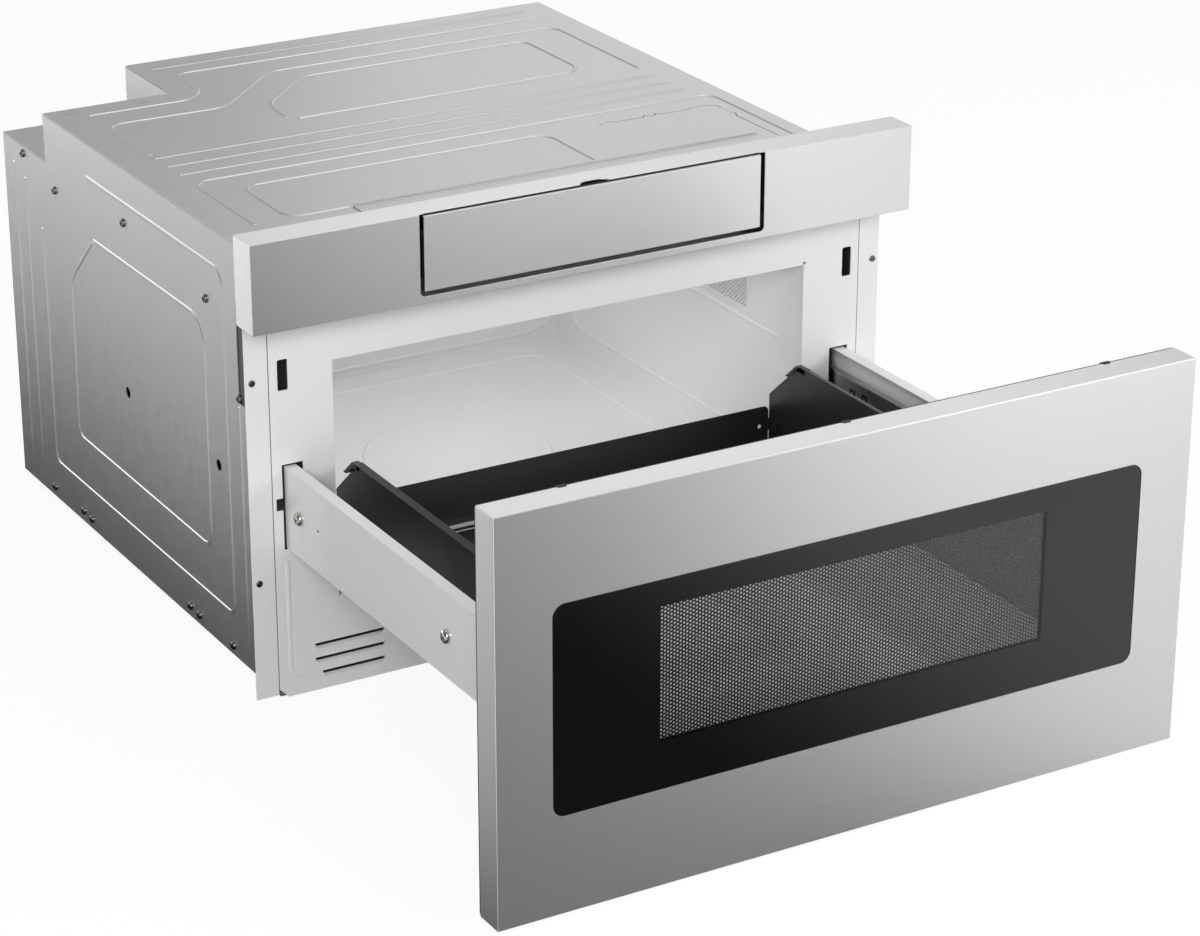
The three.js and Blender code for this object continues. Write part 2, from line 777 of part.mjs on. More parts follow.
/** Beads of the top: contours round the pocket and over the cavity, straight ones, and the front's. */
function topBeads(z) {
  const left = -halfWidth + beadLeft;
  const right = halfWidth - beadRight;
  const rear = cabinetDepth - beadRear;
  const corner = pocketSide + beadRear + 3;
  const pocket = pocketFront - beadRear - 3;
  const contour = cabinetDepth - topContourRear;
  const inner = cabinetDepth - topInnerRear;
  const straightRear = straightFront + (straightBeads - 1) * straightPitch;
  const low = straightRear + topContourFront;
  const runs = [
    [[corner - 9, rear], [right, rear]],
    [[left, pocket], [corner - 18, pocket], [corner, pocket + 18], [corner, rear - 24], [right, rear - 24]],
    [
      [left, low - 33], [left, pocket - 42], [left + 11.5, pocket - 34], [corner - 1, pocket - 36],
      [corner + 77, contour], [right - 9, contour], [right, contour - 10], [right, low - 18],
    ],
    [
      [corner + 42, low - 2], [right - topContourSide - 10, low], [right - topContourSide, low + 12],
      [right - topContourSide, inner], [corner + 97, inner], [corner + 37, inner - 60],
      [corner + 33, low + 5],
    ],
    [
      [left, supportDepth], [left, frontContour - 9], [left + 10, frontContour], [right + 5, frontContour],
      [right + 14, frontContour - 9], [right + 14, supportDepth - 13],
    ],
    [
      [left + 84, supportDepth + 2.5], [left + 39, supportDepth + 2.5], [left + 31, supportDepth + 12],
      [left + 31, innerContourRear - 8], [left + 41, innerContourRear],
      [innerContourRight - 10, innerContourRear], [innerContourRight, innerContourRear - 10],
      [innerContourRight, supportDepth + 9],
    ],
  ];
  for (let i = 0; i < straightBeads; i += 1) {
    const y = straightFront + i * straightPitch;
    runs.push([[left, y], [right, y]]);
  }
  return runs.map((run) => beadOnZ(run, beadCorner, z));
}

function backPanel() {
  const shape = outline([
    [-halfWidth, 0],
    [halfWidth, 0],
    [halfWidth, panelTop],
    [pocketSide + panelSheet + seatGap, panelTop],
    [pocketSide + panelSheet + seatGap, pocketShelf - panelSheet - seatGap],
    [-halfWidth, pocketShelf - panelSheet - seatGap],
  ]);
  for (let i = 0; i < ventCount; i += 1) {
    const x = fanCentreX + (i - (ventCount - 1) / 2) * ventPitch;
    shape.holes.push(rectangle(
      x - ventWidth / 2, x + ventWidth / 2, fanCentreZ - ventHeight / 2, fanCentreZ + ventHeight / 2));
  }
  shape.holes.push(circle(glandX, glandZ, glandBody + seatGap));
  return prismY(shape, cabinetDepth - panelSheet, cabinetDepth, 4);
}

/** Shelf and two walls that close the cabinet at the socket pocket, from one sheet. */
function cornerPocket() {
  const far = -halfWidth;
  const low = pocketShelf - panelSheet;
  return cut(
    block(far, pocketSide + panelSheet, pocketFront - panelSheet, cabinetDepth, low, panelTop),
    block(far - 1, pocketSide, pocketFront, cabinetDepth + 1, pocketShelf, panelTop + 1),
  );
}

function frontFrame() {
  const half = frameHalf;
  const shape = outline([
    [-half + frameClip, frameBottom],
    [half, frameBottom],
    [half, frameTop],
    [-half, frameTop],
    [-half, frameBottom + frameClip],
  ], [rectangle(-cavityHalf, cavityHalf, cavityFloor, cavityTop)]);
  for (const { sign } of sides) {
    shape.holes.push(slideSlot(sign), latchSlot(sign));
  }
  const louvreLeft = -half + louvreInset;
  const louvreRight = louvreLeft + louvreLength;
  const louvres = [];
  for (let i = 0; i < louvreCount; i += 1) {
    const top = louvreTop - i * louvrePitch;
    const low = top - louvreHeight;
    const start = i === louvreCount - 1 ? louvreLeft + 6 : louvreLeft;
    shape.holes.push(outline([
      [start + louvreSlant, low],
      [louvreRight - louvreSlant, low],
      [louvreRight, top],
      [start, top],
    ]));
    const inside = [louvreReach, top - louvreSlit];
    const slat = sheetSection([inside, [frameSheet / 2, low]], frameSheet);
    const cheek = outline([[frameSheet / 2, low], inside, [louvreReach, top], [frameSheet / 2, top]]);
    louvres.push(
      prismX(slat, start - cheekOut, louvreRight + cheekOut),
      prismX(cheek, start - cheekOut, start - cheekIn),
      prismX(cheek, louvreRight + cheekIn, louvreRight + cheekOut),
    );
  }
  const returns = [
    block(half, half - frameSheet, 0, frameReturn, frameBottom, frameTop),
    block(-half, -half + frameSheet, 0, frameReturn, frameBottom + frameClip, frameTop),
    block(-half, half, 0, frameReturn, frameTop, frameTop - frameSheet),
    block(-half + frameClip, half, 0, frameReturn, frameBottom, frameBottom + frameSheet),
  ];
  const beadX = half - frameBeadInset;
  const beadTop = slideMiddle - slotBelow - frameBeadGap;
  const beadRun = [
    [beadX, beadTop], [beadX, frameBeadLow + 5], [beadX - 5.5, frameBeadLow], [beadX - 15.5, frameBeadLow],
  ];
  const beads = sides.map(({ sign }) => beadOnY(beadRun.map(([x, z]) => [sign * x, z]), 10, 0));
  return cut(join(prismY(shape, 0, frameSheet, 2), ...returns, ...beads, ...louvres), ...cornerReliefs());
}

/** Reliefs where the bends of the oven's opening meet: a round one above, a star below. */
function cornerReliefs() {
  const depth = panelFront + cavitySheet + 1;
  const round = circle(cavityHalf + reliefRadius / 2, cavityTop + reliefRadius, reliefRadius, 10);
  const star = [];
  for (let i = 0; i < starArms; i += 1) {
    const along = starTurn + (i * 2 * Math.PI) / starArms;
    const between = along + Math.PI / starArms;
    star.push([along, starReach], [between, starWaist]);
  }
  const foot = [-cavityHalf + starInset, cavityFloor - starInset];
  const points = star.map(([angle, reach]) => [
    foot[0] + reach * Math.cos(angle), foot[1] + reach * Math.sin(angle)]);
  return [prismY(round, -1, depth, 3), prismY(outline(points), -1, depth)];
}

/** Slot that the slides and the side plate pass, with a notch in its outer edge. */
function slideSlot(sign) {
  const low = slideMiddle - slotBelow;
  const high = slideMiddle + slotAbove;
  const notchOuter = slotOuter + slotNotchWidth;
  const notchLow = slideMiddle - slotNotchBelow;
  const notchHigh = slideMiddle + slotNotchAbove;
  return outline([
    [slotInner, low],
    [slotOuter, low],
    [slotOuter, notchLow],
    [notchOuter, notchLow],
    [notchOuter, notchHigh],
    [slotOuter, notchHigh],
    [slotOuter, high],
    [slotInner, high],
  ].map(([x, z]) => [sign * x, z]));
}

function latchSlot(sign) {
  const middle = sign * latchCentre;
  return rounded(
    middle - latchSlotWidth / 2,
    middle + latchSlotWidth / 2,
    latchMiddle - latchSlotHeight / 2,
    latchMiddle + latchSlotHeight / 2,
    slotCorner,
  );
}

/** Angle that screws the oven to the cabinet it is built into. */
function mountingFlange(sign) {
  const inner = frameHalf + flangeGap;
  const outer = inner + flangeWidth;
  const holeX = sign * (inner + flangeHoleInset);
  const leg = outline([
    [sign * inner, flangeBottom],
    [sign * outer, flangeBottom],
    [sign * outer, frameTop],
    [sign * inner, frameTop],
  ], [flangeHoleLow, flangeHoleHigh].map((z) => circle(holeX, z, flangeHole / 2)));
  const back = block(sign * inner, sign * (inner + frameSheet), 0, flangeReturn, flangeBottom, frameTop);
  return join(prismY(leg, 0, frameSheet, 3), back);
}

// ---- oven cavity --------------------------------------------------------------------------

function cavity() {
  const out = cavityHalf + cavitySheet;
  const under = cavityFloor - cavitySheet;
  const shell = cut(
    block(-out, out, panelFront, cavityBack + cavitySheet, under, cavityTop + cavitySheet),
    block(-cavityHalf, cavityHalf, panelFront - 1, cavityBack, cavityFloor, cavityTop),
  );
  const lip = cut(
    block(
      -out - cavityFlange, out + cavityFlange, panelFront, panelFront + cavitySheet,
      under - cavityFlange, cavityTop + cavitySheet + cavityFlange),
    block(-cavityHalf, cavityHalf, 0, panelFront + 2, cavityFloor, cavityTop),
  );
  const ledge = wellRadius - wellLedge;
  const seat = cavityFloor - coverThickness - seatGap;
  const well = turnedZ([
    [0, cavityFloor - wellDepth - cavitySheet],
    [ledge + cavitySheet, cavityFloor - wellDepth - cavitySheet],
    [ledge + cavitySheet, seat - cavitySheet],
    [wellRadius + cavitySheet, seat - cavitySheet],
    [wellRadius + cavitySheet, cavityFloor],
    [wellRadius, cavityFloor],
    [wellRadius, seat],
    [ledge, seat],
    [ledge, cavityFloor - wellDepth],
    [0, cavityFloor - wellDepth],
  ], 0, antennaCentre);
  const mouth = turnedZ([
    [0, under - 1],
    [wellRadius + cavitySheet / 2, under - 1],
    [wellRadius + cavitySheet / 2, cavityFloor + 1],
    [0, cavityFloor + 1],
  ], 0, antennaCentre);
  const shaftHole = turnedZ([
    [0, cavityFloor - wellDepth - cavitySheet - 1],
    [shaftRadius + 2, cavityFloor - wellDepth - cavitySheet - 1],
    [shaftRadius + 2, cavityFloor - wellDepth + 1],
    [0, cavityFloor - wellDepth + 1],
  ], 0, antennaCentre, 12);
  const rim = cavityHalf - rimSide;
  const rear = cavityBack - rimRear;
  const floorRim = beadOnZ([
    [0, rimFront], [rim, rimFront], [rim, rear], [-rim, rear], [-rim, rimFront], [0, rimFront],
  ], rimRadius, cavityFloor);
  const [low, high] = [cavityFloor + wallBeadLow, cavityFloor + wallBeadHigh];
  const upright = cavityBack - wallBeadRear;
  const wallBeads = [-cavityHalf, cavityHalf].map((x) => beadOnX([
    [wallBeadFront, low], [upright, low], [upright, high], [wallBeadFront, high],
  ], wallBeadCorner, x));
  const backHalf = cavityHalf - backBeadSide;
  const backLow = cavityFloor + backBeadLow;
  const backBead = beadOnY([
    [-backHalf, high], [-backHalf, backLow], [backHalf, backLow], [backHalf, high],
  ], backBeadCorner, cavityBack);
  const window = block(cavityHalf - 1, out + 1, lampFront, lampRear, lampBottom, lampTop);
  const body = join(cut(join(shell, lip), mouth), well, floorRim, ...wallBeads, backBead);
  return cut(body, shaftHole, window, ...cornerReliefs());
}

const lampRear = lampFront + lampLength;
const lampTop = cavityTop - lampDrop;
const lampBottom = bracketTop + lampRise;

/** Perforated sheet in front of the cavity lamp. */
function lampGrille() {
  const x = cavityHalf + cavitySheet + seatGap;
  const edge = 6;
  const shape = rectangle(lampFront - edge, lampRear + edge, lampBottom - edge, lampTop + edge);
  const across = lampLength / (grilleColumns + 1);
  const up = (lampTop - lampBottom) / (grilleRows + 0.5);
  for (let column = 1; column <= grilleColumns; column += 1) {
    for (let row = 0; row < grilleRows; row += 1) {
      const lift = row + (column % 2 === 0 ? 0.5 : 1);
      shape.holes.push(circle(lampFront + column * across, lampBottom + lift * up, grilleHole, 6));
    }
  }
  return prismX(shape, x, x + cavitySheet);
}

function cavityLamp() {
  const x = cavityHalf + 2 * (cavitySheet + seatGap);
  const back = x + lampDepth - lampWall;
  const box = cut(
    block(x, x + lampDepth, lampFront, lampRear, lampBottom, lampTop),
    block(x - 1, back, lampFront + lampWall, lampRear - lampWall, lampBottom + lampWall, lampTop - lampWall),
  );
  const bulb = new THREE.SphereGeometry(bulbRadius, 12, 8);
  bulb.translate(back - bulbRadius + 2, (lampFront + lampRear) / 2, (lampBottom + lampTop) / 2);
  return join(box, solid(bulb));
}

function antennaCover() {
  return turnedZ([
    [0, cavityFloor - coverThickness],
    [wellRadius - seatGap, cavityFloor - coverThickness],
    [wellRadius - seatGap, cavityFloor],
    [0, cavityFloor],
  ], 0, antennaCentre);
}

const wellFloor = cavityFloor - wellDepth;
const guideTop = wellFloor - cavitySheet - seatGap;
const guideBottom = guideTop - waveguideHeight;
const antennaRadius = wellRadius - wellLedge - antennaGap;
const antennaFoot = guideBottom - antennaMotorHeight * 0.6; // where the antenna's shaft ends
const magnetronCentre = cabinetDepth - magnetronInset;

/** Turning antenna: a disc with three slots on a shaft that reaches down to its motor. */
function stirrerAntenna() {
  const low = wellFloor + antennaLift;
  const disc = circle(0, antennaCentre, antennaRadius, 32);
  for (let i = 0; i < 3; i += 1) {
    const angle = (i * 2 * Math.PI) / 3;
    const inner = antennaRadius * 0.4;
    const outer = antennaRadius * 0.85;
    const spread = 0.35;
    const slot = new THREE.Shape();
    slot.absarc(0, antennaCentre, outer, angle - spread, angle + spread);
    slot.absarc(0, antennaCentre, inner, angle + spread, angle - spread, true);
    disc.holes.push(slot);
  }
  const shaft = turnedZ([
    [0, antennaFoot], [shaftRadius, antennaFoot], [shaftRadius, low + 1], [0, low + 1],
  ], 0, antennaCentre, 12);
  return join(prismZ(disc, low, low + antennaThickness, 12), shaft);
}

function antennaMotor() {
  const top = guideBottom - seatGap;
  return turnedZ([
    [0, top - antennaMotorHeight],
    [antennaMotorRadius, top - antennaMotorHeight],
    [antennaMotorRadius, top],
    [shaftRadius + runningGap, top],
    [shaftRadius + runningGap, antennaFoot - runningGap],
    [0, antennaFoot - runningGap],
  ], 0, antennaCentre, 20);
}

function waveguide() {
  const half = waveguideWidth / 2;
  const front = antennaCentre - waveguideFront;
  const rear = magnetronCentre + waveguideRear;
  const tube = cut(
    block(-half, half, front, rear, guideBottom, guideTop),
    block(-half + waveguideSheet, half - waveguideSheet, front + waveguideSheet, rear - waveguideSheet,
      guideBottom + waveguideSheet, guideTop - waveguideSheet),
  );
  const hole = (y, radius, low, high) => turnedZ(
    [[0, low], [radius, low], [radius, high], [0, high]], 0, y, 16);
  return cut(
    tube,
    hole(antennaCentre, shaftRadius + 8, guideTop - 2, guideTop + 1),
    hole(antennaCentre, shaftRadius + 1, guideBottom - 1, guideBottom + 2),
    hole(magnetronCentre, magnetronDome + 1, guideTop - 2, guideTop + 1),
  );
}

// ---- machinery ----------------------------------------------------------------------------

/** Magnetron: yoke plates above and below a stack of cooling fins, and a dome into the waveguide. */
function magnetron() {
  const low = guideTop + seatGap;
  const half = magnetronWidth / 2;
  const front = magnetronCentre - magnetronDepth / 2;
  const rear = magnetronCentre + magnetronDepth / 2;
  const plate = 3;
  const top = low + magnetronHeight;
  const anode = 18;
  const core = turnedZ(
    [[0, low + 1], [anode, low + 1], [anode, top - 1], [0, top - 1]], 0, magnetronCentre, 16);
  const yoke = [
    block(-half, half, front, rear, low, low + plate),
    block(-half, half, front, rear, top - plate, top),
    block(-half, -half + plate, front, rear, low, top),
    block(half - plate, half, front, rear, low, top),
  ];
  const fins = [];
  for (let i = 1; i <= finCount; i += 1) {
    const z = low + (i * magnetronHeight) / (finCount + 1);
    fins.push(block(-half + 1, half - 1, front + 4, rear - 4, z - finThickness / 2, z + finThickness / 2));
  }
  const domeLow = low - waveguideHeight * 0.6;
  const dome = turnedZ([[0, domeLow], [magnetronDome - 2, domeLow], [magnetronDome, domeLow + 3],
    [magnetronDome, low + 1], [0, low + 1]], 0, magnetronCentre, 16);
  const socket = block(-14, 14, magnetronCentre - 16, magnetronCentre + 16, top - 1, top + 18);
  return join(core, ...yoke, ...fins, dome, socket);
}

const machineryDepth = cabinetDepth - transformerInset;
const transformerFoot = transformerCentre - transformerWidth / 2 - footLength;
const capacitorCentre = transformerFoot - capacitorGap - capacitorWidth / 2;

/** Transformer: iron core with its two coils, on two feet. */
function transformer() {
  const low = panelSheet + seatGap;
  const high = low + transformerHeight;
  const x0 = transformerCentre - transformerWidth / 2;
  const x1 = transformerCentre + transformerWidth / 2;
  const y0 = machineryDepth - transformerDepth / 2;
  const y1 = machineryDepth + transformerDepth / 2;
  const core = block(x0, x1, y0, y1, low + 2, high);
  const limb = transformerHeight * 0.22;
  const coil = prismZ(
    rounded(x0 + limb, x1 - limb, y0 - coilBulge, y1 + coilBulge, coilBulge), low + limb, high - limb, 3);
  const feet = block(x0 - footLength, x1 + footLength, y0, y1, low, low + 2.5);
  const split = block(x0 + limb - 1, x1 - limb + 1, y0 - coilBulge - 1, y0 - 1,
    low + transformerHeight * 0.55, low + transformerHeight * 0.6);
  return join(core, cut(coil, split), feet);
}

function capacitor() {
  const low = panelSheet + seatGap;
  const high = low + capacitorHeight;
  const x0 = capacitorCentre - capacitorWidth / 2;
  const x1 = capacitorCentre + capacitorWidth / 2;
  const y0 = machineryDepth - capacitorDepth / 2;
  const y1 = machineryDepth + capacitorDepth / 2;
  const can = prismZ(rounded(x0, x1, y0, y1, capacitorWidth / 2 - 0.5), low, high, 5);
  const terminals = [-12, 12].map((offset) => {
    const y = machineryDepth + offset;
    return block(capacitorCentre - 3, capacitorCentre + 3, y - 0.5, y + 0.5, high - 1, high + 10);
  });
  return join(can, ...terminals);
}

const fanLow = panelSheet + seatGap;
const fanPlate = 2 * (fanRadius + fanMargin);
const fanCentreZ = fanLow + fanPlate / 2;
const fanPlateDepth = cabinetDepth - fanInset;

function fanHousing() {
  const half = fanPlate / 2;
  const plateShape = rectangle(fanCentreX - half, fanCentreX + half, fanLow, fanLow + fanPlate);
  plateShape.holes.push(circle(fanCentreX, fanCentreZ, fanRadius, 32));
  const plate = prismY(plateShape, fanPlateDepth, fanPlateDepth + fanSheet);
  const collar = turnedY([
    [fanRadius, fanPlateDepth - fanCollar],
    [fanRadius + fanSheet, fanPlateDepth - fanCollar],
    [fanRadius + fanSheet, fanPlateDepth + fanSheet],
    [fanRadius, fanPlateDepth + fanSheet],
    [fanRadius, fanPlateDepth - fanCollar],
  ], fanCentreX, fanCentreZ, 32);
  const foot = block(
    fanCentreX - half, fanCentreX + half, fanPlateDepth, fanPlateDepth + fanFoot, fanLow, fanLow + fanSheet);
  return join(plate, collar, foot);
}

/** Fan motor with the strap that ties it across the housing. */
function fanMotor() {
  const front = fanPlateDepth + fanSheet + seatGap;
  const half = motorSide / 2;
  const strap = 16;
  const arm = fanRadius + 6;
  const bars = sheetSection([
    [fanCentreX - arm - 6, front],
    [fanCentreX - arm, front],
    [fanCentreX - half, front + 8],
    [fanCentreX + half, front + 8],
    [fanCentreX + arm, front],
    [fanCentreX + arm + 6, front],
  ], fanSheet);
  const straps = prismZ(bars, fanCentreZ - strap / 2, fanCentreZ + strap / 2);
  const stack = block(fanCentreX - half, fanCentreX + half, front + 8.5, front + 8 + motorDepth,
    fanCentreZ - half, fanCentreZ + half);
  const bore = turnedY([
    [0, front - 4],
    [fanShaft + runningGap, front - 4],
    [fanShaft + runningGap, front + shaftInMotor + runningGap],
    [0, front + shaftInMotor + runningGap],
  ], fanCentreX, fanCentreZ, 12);
  return cut(join(straps, stack), bore);
}

/** Axial rotor: a domed hub with pitched blades, each a plate twisted along its span. */
function fanRotor() {
  const front = fanPlateDepth - 0.8 * fanCollar;
  const rear = fanPlateDepth - fanSheet;
  const span = fanRadius - bladeTipGap;
  const hub = turnedY([
    [0, front], [hubRadius - 3, front], [hubRadius, front + 3], [hubRadius, rear], [0, rear],
  ], fanCentreX, fanCentreZ, 20);
  const shaftEnd = fanPlateDepth + fanSheet + seatGap + shaftInMotor;
  const shaft = turnedY([[0, rear - 1], [fanShaft, rear - 1], [fanShaft, shaftEnd], [0, shaftEnd]],
    fanCentreX, fanCentreZ, 12);
  const length = span - hubRadius + 3;
  const blades = [];
  for (let i = 0; i < bladeCount; i += 1) {
    const blade = new THREE.BoxGeometry(bladeChord, bladeThickness, length, 1, 1, 3);
    const positions = blade.attributes.position;
    const vertex = new THREE.Vector3();
    for (let k = 0; k < positions.count; k += 1) {
      vertex.fromBufferAttribute(positions, k);
      const share = vertex.z / length + 0.5;
      const pitch = bladeRootPitch + (bladeTipPitch - bladeRootPitch) * share;
      vertex.x *= 0.8 + 0.35 * share;
      vertex.applyAxisAngle(alongZ, THREE.MathUtils.degToRad(pitch));
      positions.setXYZ(k, vertex.x, vertex.y, vertex.z);
    }
    blade.translate(0, 0, span - length / 2);
    blade.rotateY((i * 2 * Math.PI) / bladeCount);
    blade.translate(fanCentreX, (front + rear) / 2, fanCentreZ);
    blades.push(solid(blade));
  }
  return join(hub, shaft, ...blades);
}

/** Bush that lines the hole for the mains lead in the back panel. */
function cordGland() {
  const inside = cabinetDepth - panelSheet - glandReach;
  const face = cabinetDepth + seatGap;
  return turnedY([
    [glandBore, inside],
    [glandBody, inside],
    [glandBody, face],
    [glandFlange, face],
    [glandFlange - 1, face + glandFlangeThickness],
    [glandBore, face + glandFlangeThickness],
    [glandBore, inside],
  ], glandX, glandZ, 16);
}

// ---- latch brackets and switches ----------------------------------------------------------

const hookTipShut = drawerFront + hookReach + doorTravel; // the latch hooks' tips when the drawer is shut
const switchFront = hookTipShut + leverGap + leverReach;

/** Angle behind the front plate's corner that carries the switch. */
function latchBracket(sign) {
  const start = latchCentre - latchSlotWidth / 2 - 6;
  const section = sheetSection([
    [sign * start, panelFront],
    [sign * floorHalf, panelFront],
    [sign * floorHalf, Math.max(switchFront + switchLength + 4, sideCutDepth + 9)],
  ], sign * bracketSheet);
  const low = latchMiddle - sideCutBelow - 4;
  const high = latchMiddle + sideCutAbove + 4;
  const slot = prismY(latchSlot(sign), panelFront - 1, panelFront + bracketSheet + 1, 2);
  return cut(prismZ(section, low, high), slot);
}

/** Switch that feels the latch hook when the drawer is closed. */
function interlockSwitch(sign) {
  const outer = floorHalf - bracketSheet - seatGap;
  const inner = outer - switchThickness;
  const low = latchMiddle - switchHeight / 2;
  const body = block(
    sign * inner, sign * outer, switchFront, switchFront + switchLength, low, low + switchHeight);
  const lever = block(sign * (inner + 3), sign * (outer - 3), switchFront - leverReach, switchFront + 1,
    latchMiddle - 2, latchMiddle + 2);
  return join(body, lever);
}

// ---- fascia and control flap --------------------------------------------------------------

const fasciaFront = -faceInset;
const fasciaRear = -fasciaBack;
const flapHalf = flapWidth / 2;
const flapBottom = fasciaBottom + flapRise;
const flapTop = fasciaTop - flapDrop;
const housingHalf = flapHalf + housingMargin;
const flapAxis = { y: fasciaFront + flapAxisDepth, z: flapBottom + flapAxisRise };

function fascia() {
  const shell = cut(
    block(-faceHalf, faceHalf, fasciaFront, fasciaRear, fasciaBottom, fasciaTop),
    block(-faceHalf + steelSheet, faceHalf - steelSheet, fasciaFront + steelSheet, fasciaRear + 1,
      fasciaBottom + steelSheet, fasciaTop - steelSheet),
  );
  const lip = cut(
    block(-faceHalf, faceHalf, fasciaRear - steelSheet, fasciaRear, fasciaBottom, fasciaTop),
    block(-faceHalf + fasciaLip, faceHalf - fasciaLip, fasciaRear - 2, fasciaRear + 1,
      fasciaBottom + fasciaLip, fasciaTop - fasciaLip),
  );
  const opening = flapHalf + flapSideGap;
  const mouth = prismY(
    rounded(-opening, opening, flapBottom - flapBottomGap, fasciaTop + 2 * openingCorner, openingCorner),
    fasciaFront - 1, fasciaFront + rimSetback, 3);
  const finger = new THREE.Shape();
  const rim = fasciaFront + rimSetback;
  finger.moveTo(-notchWidth / 2, rim - 1);
  finger.lineTo(notchWidth / 2, rim - 1);
  finger.lineTo(notchWidth / 2, rim);
  finger.quadraticCurveTo(notchWidth / 2 - 2, rim + notchDepth, 0, rim + notchDepth);
  finger.quadraticCurveTo(-notchWidth / 2 + 2, rim + notchDepth, -notchWidth / 2, rim);
  return cut(join(shell, lip), mouth, prismZ(finger, fasciaTop - fasciaLip, fasciaTop + 1, 5));
}

/** Steel face of the flap, with its edges turned back. */
function controlFlap() {
  const back = fasciaFront + flapReturn;
  const section = sheetSection([
    [back, flapBottom],
    [fasciaFront, flapBottom],
    [fasciaFront, flapTop],
    [back - 2, flapTop],
  ], -flapSheet);
  const face = prismX(section, -flapHalf, flapHalf);
  const ends = sides.map(({ sign }) => block(
    sign * flapHalf, sign * (flapHalf - flapSheet), fasciaFront, back, flapBottom, flapTop - 12));
  return join(face, ...ends);
}

const carrierFront = fasciaFront + flapSheet + seatGap;
const carrierRear = carrierFront + flapFrameDepth;
const carrierBottom = flapBottom + flapSheet + seatGap;
const carrierTop = flapTop - flapSheet - seatGap;

/** Plastic carrier behind the face, with the two pins that the flap turns on. */
function flapCarrier() {
  const half = flapHalf - flapSheet - seatGap;
  const recessHalf = flapHalf - touchMargin + seatGap;
  const recess = block(-recessHalf, recessHalf, carrierRear - touchThickness, carrierRear + 1,
    carrierBottom + touchMargin / 2 - seatGap, carrierTop - touchMargin + seatGap);
  const finger = block(-notchWidth / 2, notchWidth / 2, carrierFront + 1, carrierRear + 1,
    carrierTop - touchMargin + 1, carrierTop + 1);
  const slab = block(-half, half, carrierFront, carrierRear, carrierBottom, carrierTop);
  const pins = sides.map(({ sign }) => prismX(
    circle(flapAxis.y, flapAxis.z, flapPinRadius), sign * (half - 1), sign * (flapHalf + flapPinLength), 3));
  return join(cut(slab, recess, finger), ...pins);
}

function touchPanel() {
  const half = flapHalf - touchMargin;
  const front = carrierRear - touchThickness + seatGap;
  return block(
    -half, half, front, front + touchThickness, carrierBottom + touchMargin / 2, carrierTop - touchMargin);
}

/** Ear inside the fascia that one flap pin turns in. */
function flapEar(sign) {
  const inner = sign * (flapHalf + 1);
  const outer = sign * (flapHalf + flapPinLength + 2);
  const half = flapPinRadius + 3;
  const front = flapAxis.y - flapPinRadius - 2.5;
  const ear = cut(
    block(inner, outer, front, tubFront + 1, flapAxis.z - half, flapAxis.z + half),
    prismX(circle(flapAxis.y, flapAxis.z, flapPinRadius + runningGap), inner - sign, outer + sign, 3),
  );
  return ear;
}

const tubFront = -housingDepth;
const tubBottom = fasciaBottom + fasciaLip + seatGap;
const tubTop = fasciaTop - fasciaLip - seatGap;

/** Moulding that closes the fascia behind the flap and carries it on the front plate. */
function controlHousing() {
  const rear = -seatGap;
  const flange = fasciaBack - 2 * seatGap;
  const margin = steelSheet + 1;
  const half = faceHalf - margin;
  const inner = housingHalf - housingWall;
  const plate = block(-half, half, rear - flange, rear, fasciaBottom + margin, fasciaTop - margin);
  const tub = block(-housingHalf, housingHalf, tubFront, rear - flange + 0.5, tubBottom, tubTop);
  const hollow = block(-inner, inner, tubFront + housingWall, rear + 1,
    tubBottom + housingWall, tubTop - housingWall);
  return join(cut(join(plate, tub), hollow), ...sides.map(({ sign }) => flapEar(sign)));
}

function controlBoard() {
  const front = tubFront + housingWall + seatGap;
  const half = housingHalf - housingWall - seatGap;
  const low = tubBottom + housingWall + seatGap;
  const high = tubTop - housingWall - seatGap;
  const board = block(-half, half, front, front + boardThickness, low, high);
  const relays = [-0.7, -0.2, 0.4].map((share) => block(
    share * half, share * half + relayWidth, front + 1, front + relayDepth, low + 8, low + 8 + relayHeight));
  return join(board, ...relays);
}

/** Bent strap on the cabinet top that the fascia's back is screwed to. */
function fasciaSupport() {
  const low = frameTop + seatGap;
  const bed = cabinetHeight + seatGap;
  const bend = frameReturn + 2;
  return prismX(sheetSection([
    [supportDepth, bed + supportLip + supportSheet],
    [supportDepth, bed],
    [bend, bed],
    [bend, low],
    [0, low],
    [0, fasciaTop - steelSheet - 2],
  ], -supportSheet), -halfWidth + supportLeftInset, halfWidth - supportRightInset);
}

// ---- drawer front -------------------------------------------------------------------------

const windowHalf = faceHalf - windowSide;
const windowBottom = doorBottom + windowBelow;
const windowTop = doorTop - windowAbove;

function doorFrame() {
  const shell = cut(
    block(-faceHalf, faceHalf, doorFace, doorRear, doorBottom, doorTop),
    block(-faceHalf + steelSheet, faceHalf - steelSheet, doorFace + steelSheet, doorRear + 1,
      doorBottom + steelSheet, doorTop - steelSheet),
  );
  const opening = rounded(-windowHalf, windowHalf, windowBottom, windowTop, windowRadius);
  return cut(shell, prismY(opening, doorFace - 1, doorFace + steelSheet + 1));
}

function doorGlass() {
  const half = windowHalf - seatGap;
  const front = doorFace + glassInset;
  return prismY(
    rounded(-half, half, windowBottom + seatGap, windowTop - seatGap, windowRadius - seatGap),
    front, front + glassThickness);
}

/** Outline of the screen, moved inwards by an inset. */
function screenOutline(inset) {
  const half = cavityHalf - screenSide - inset;
  return rounded(
    -half, half, cavityFloor + screenBelow + inset, cavityTop - screenAbove - inset,
    Math.max(screenRadius - inset, 1));
}

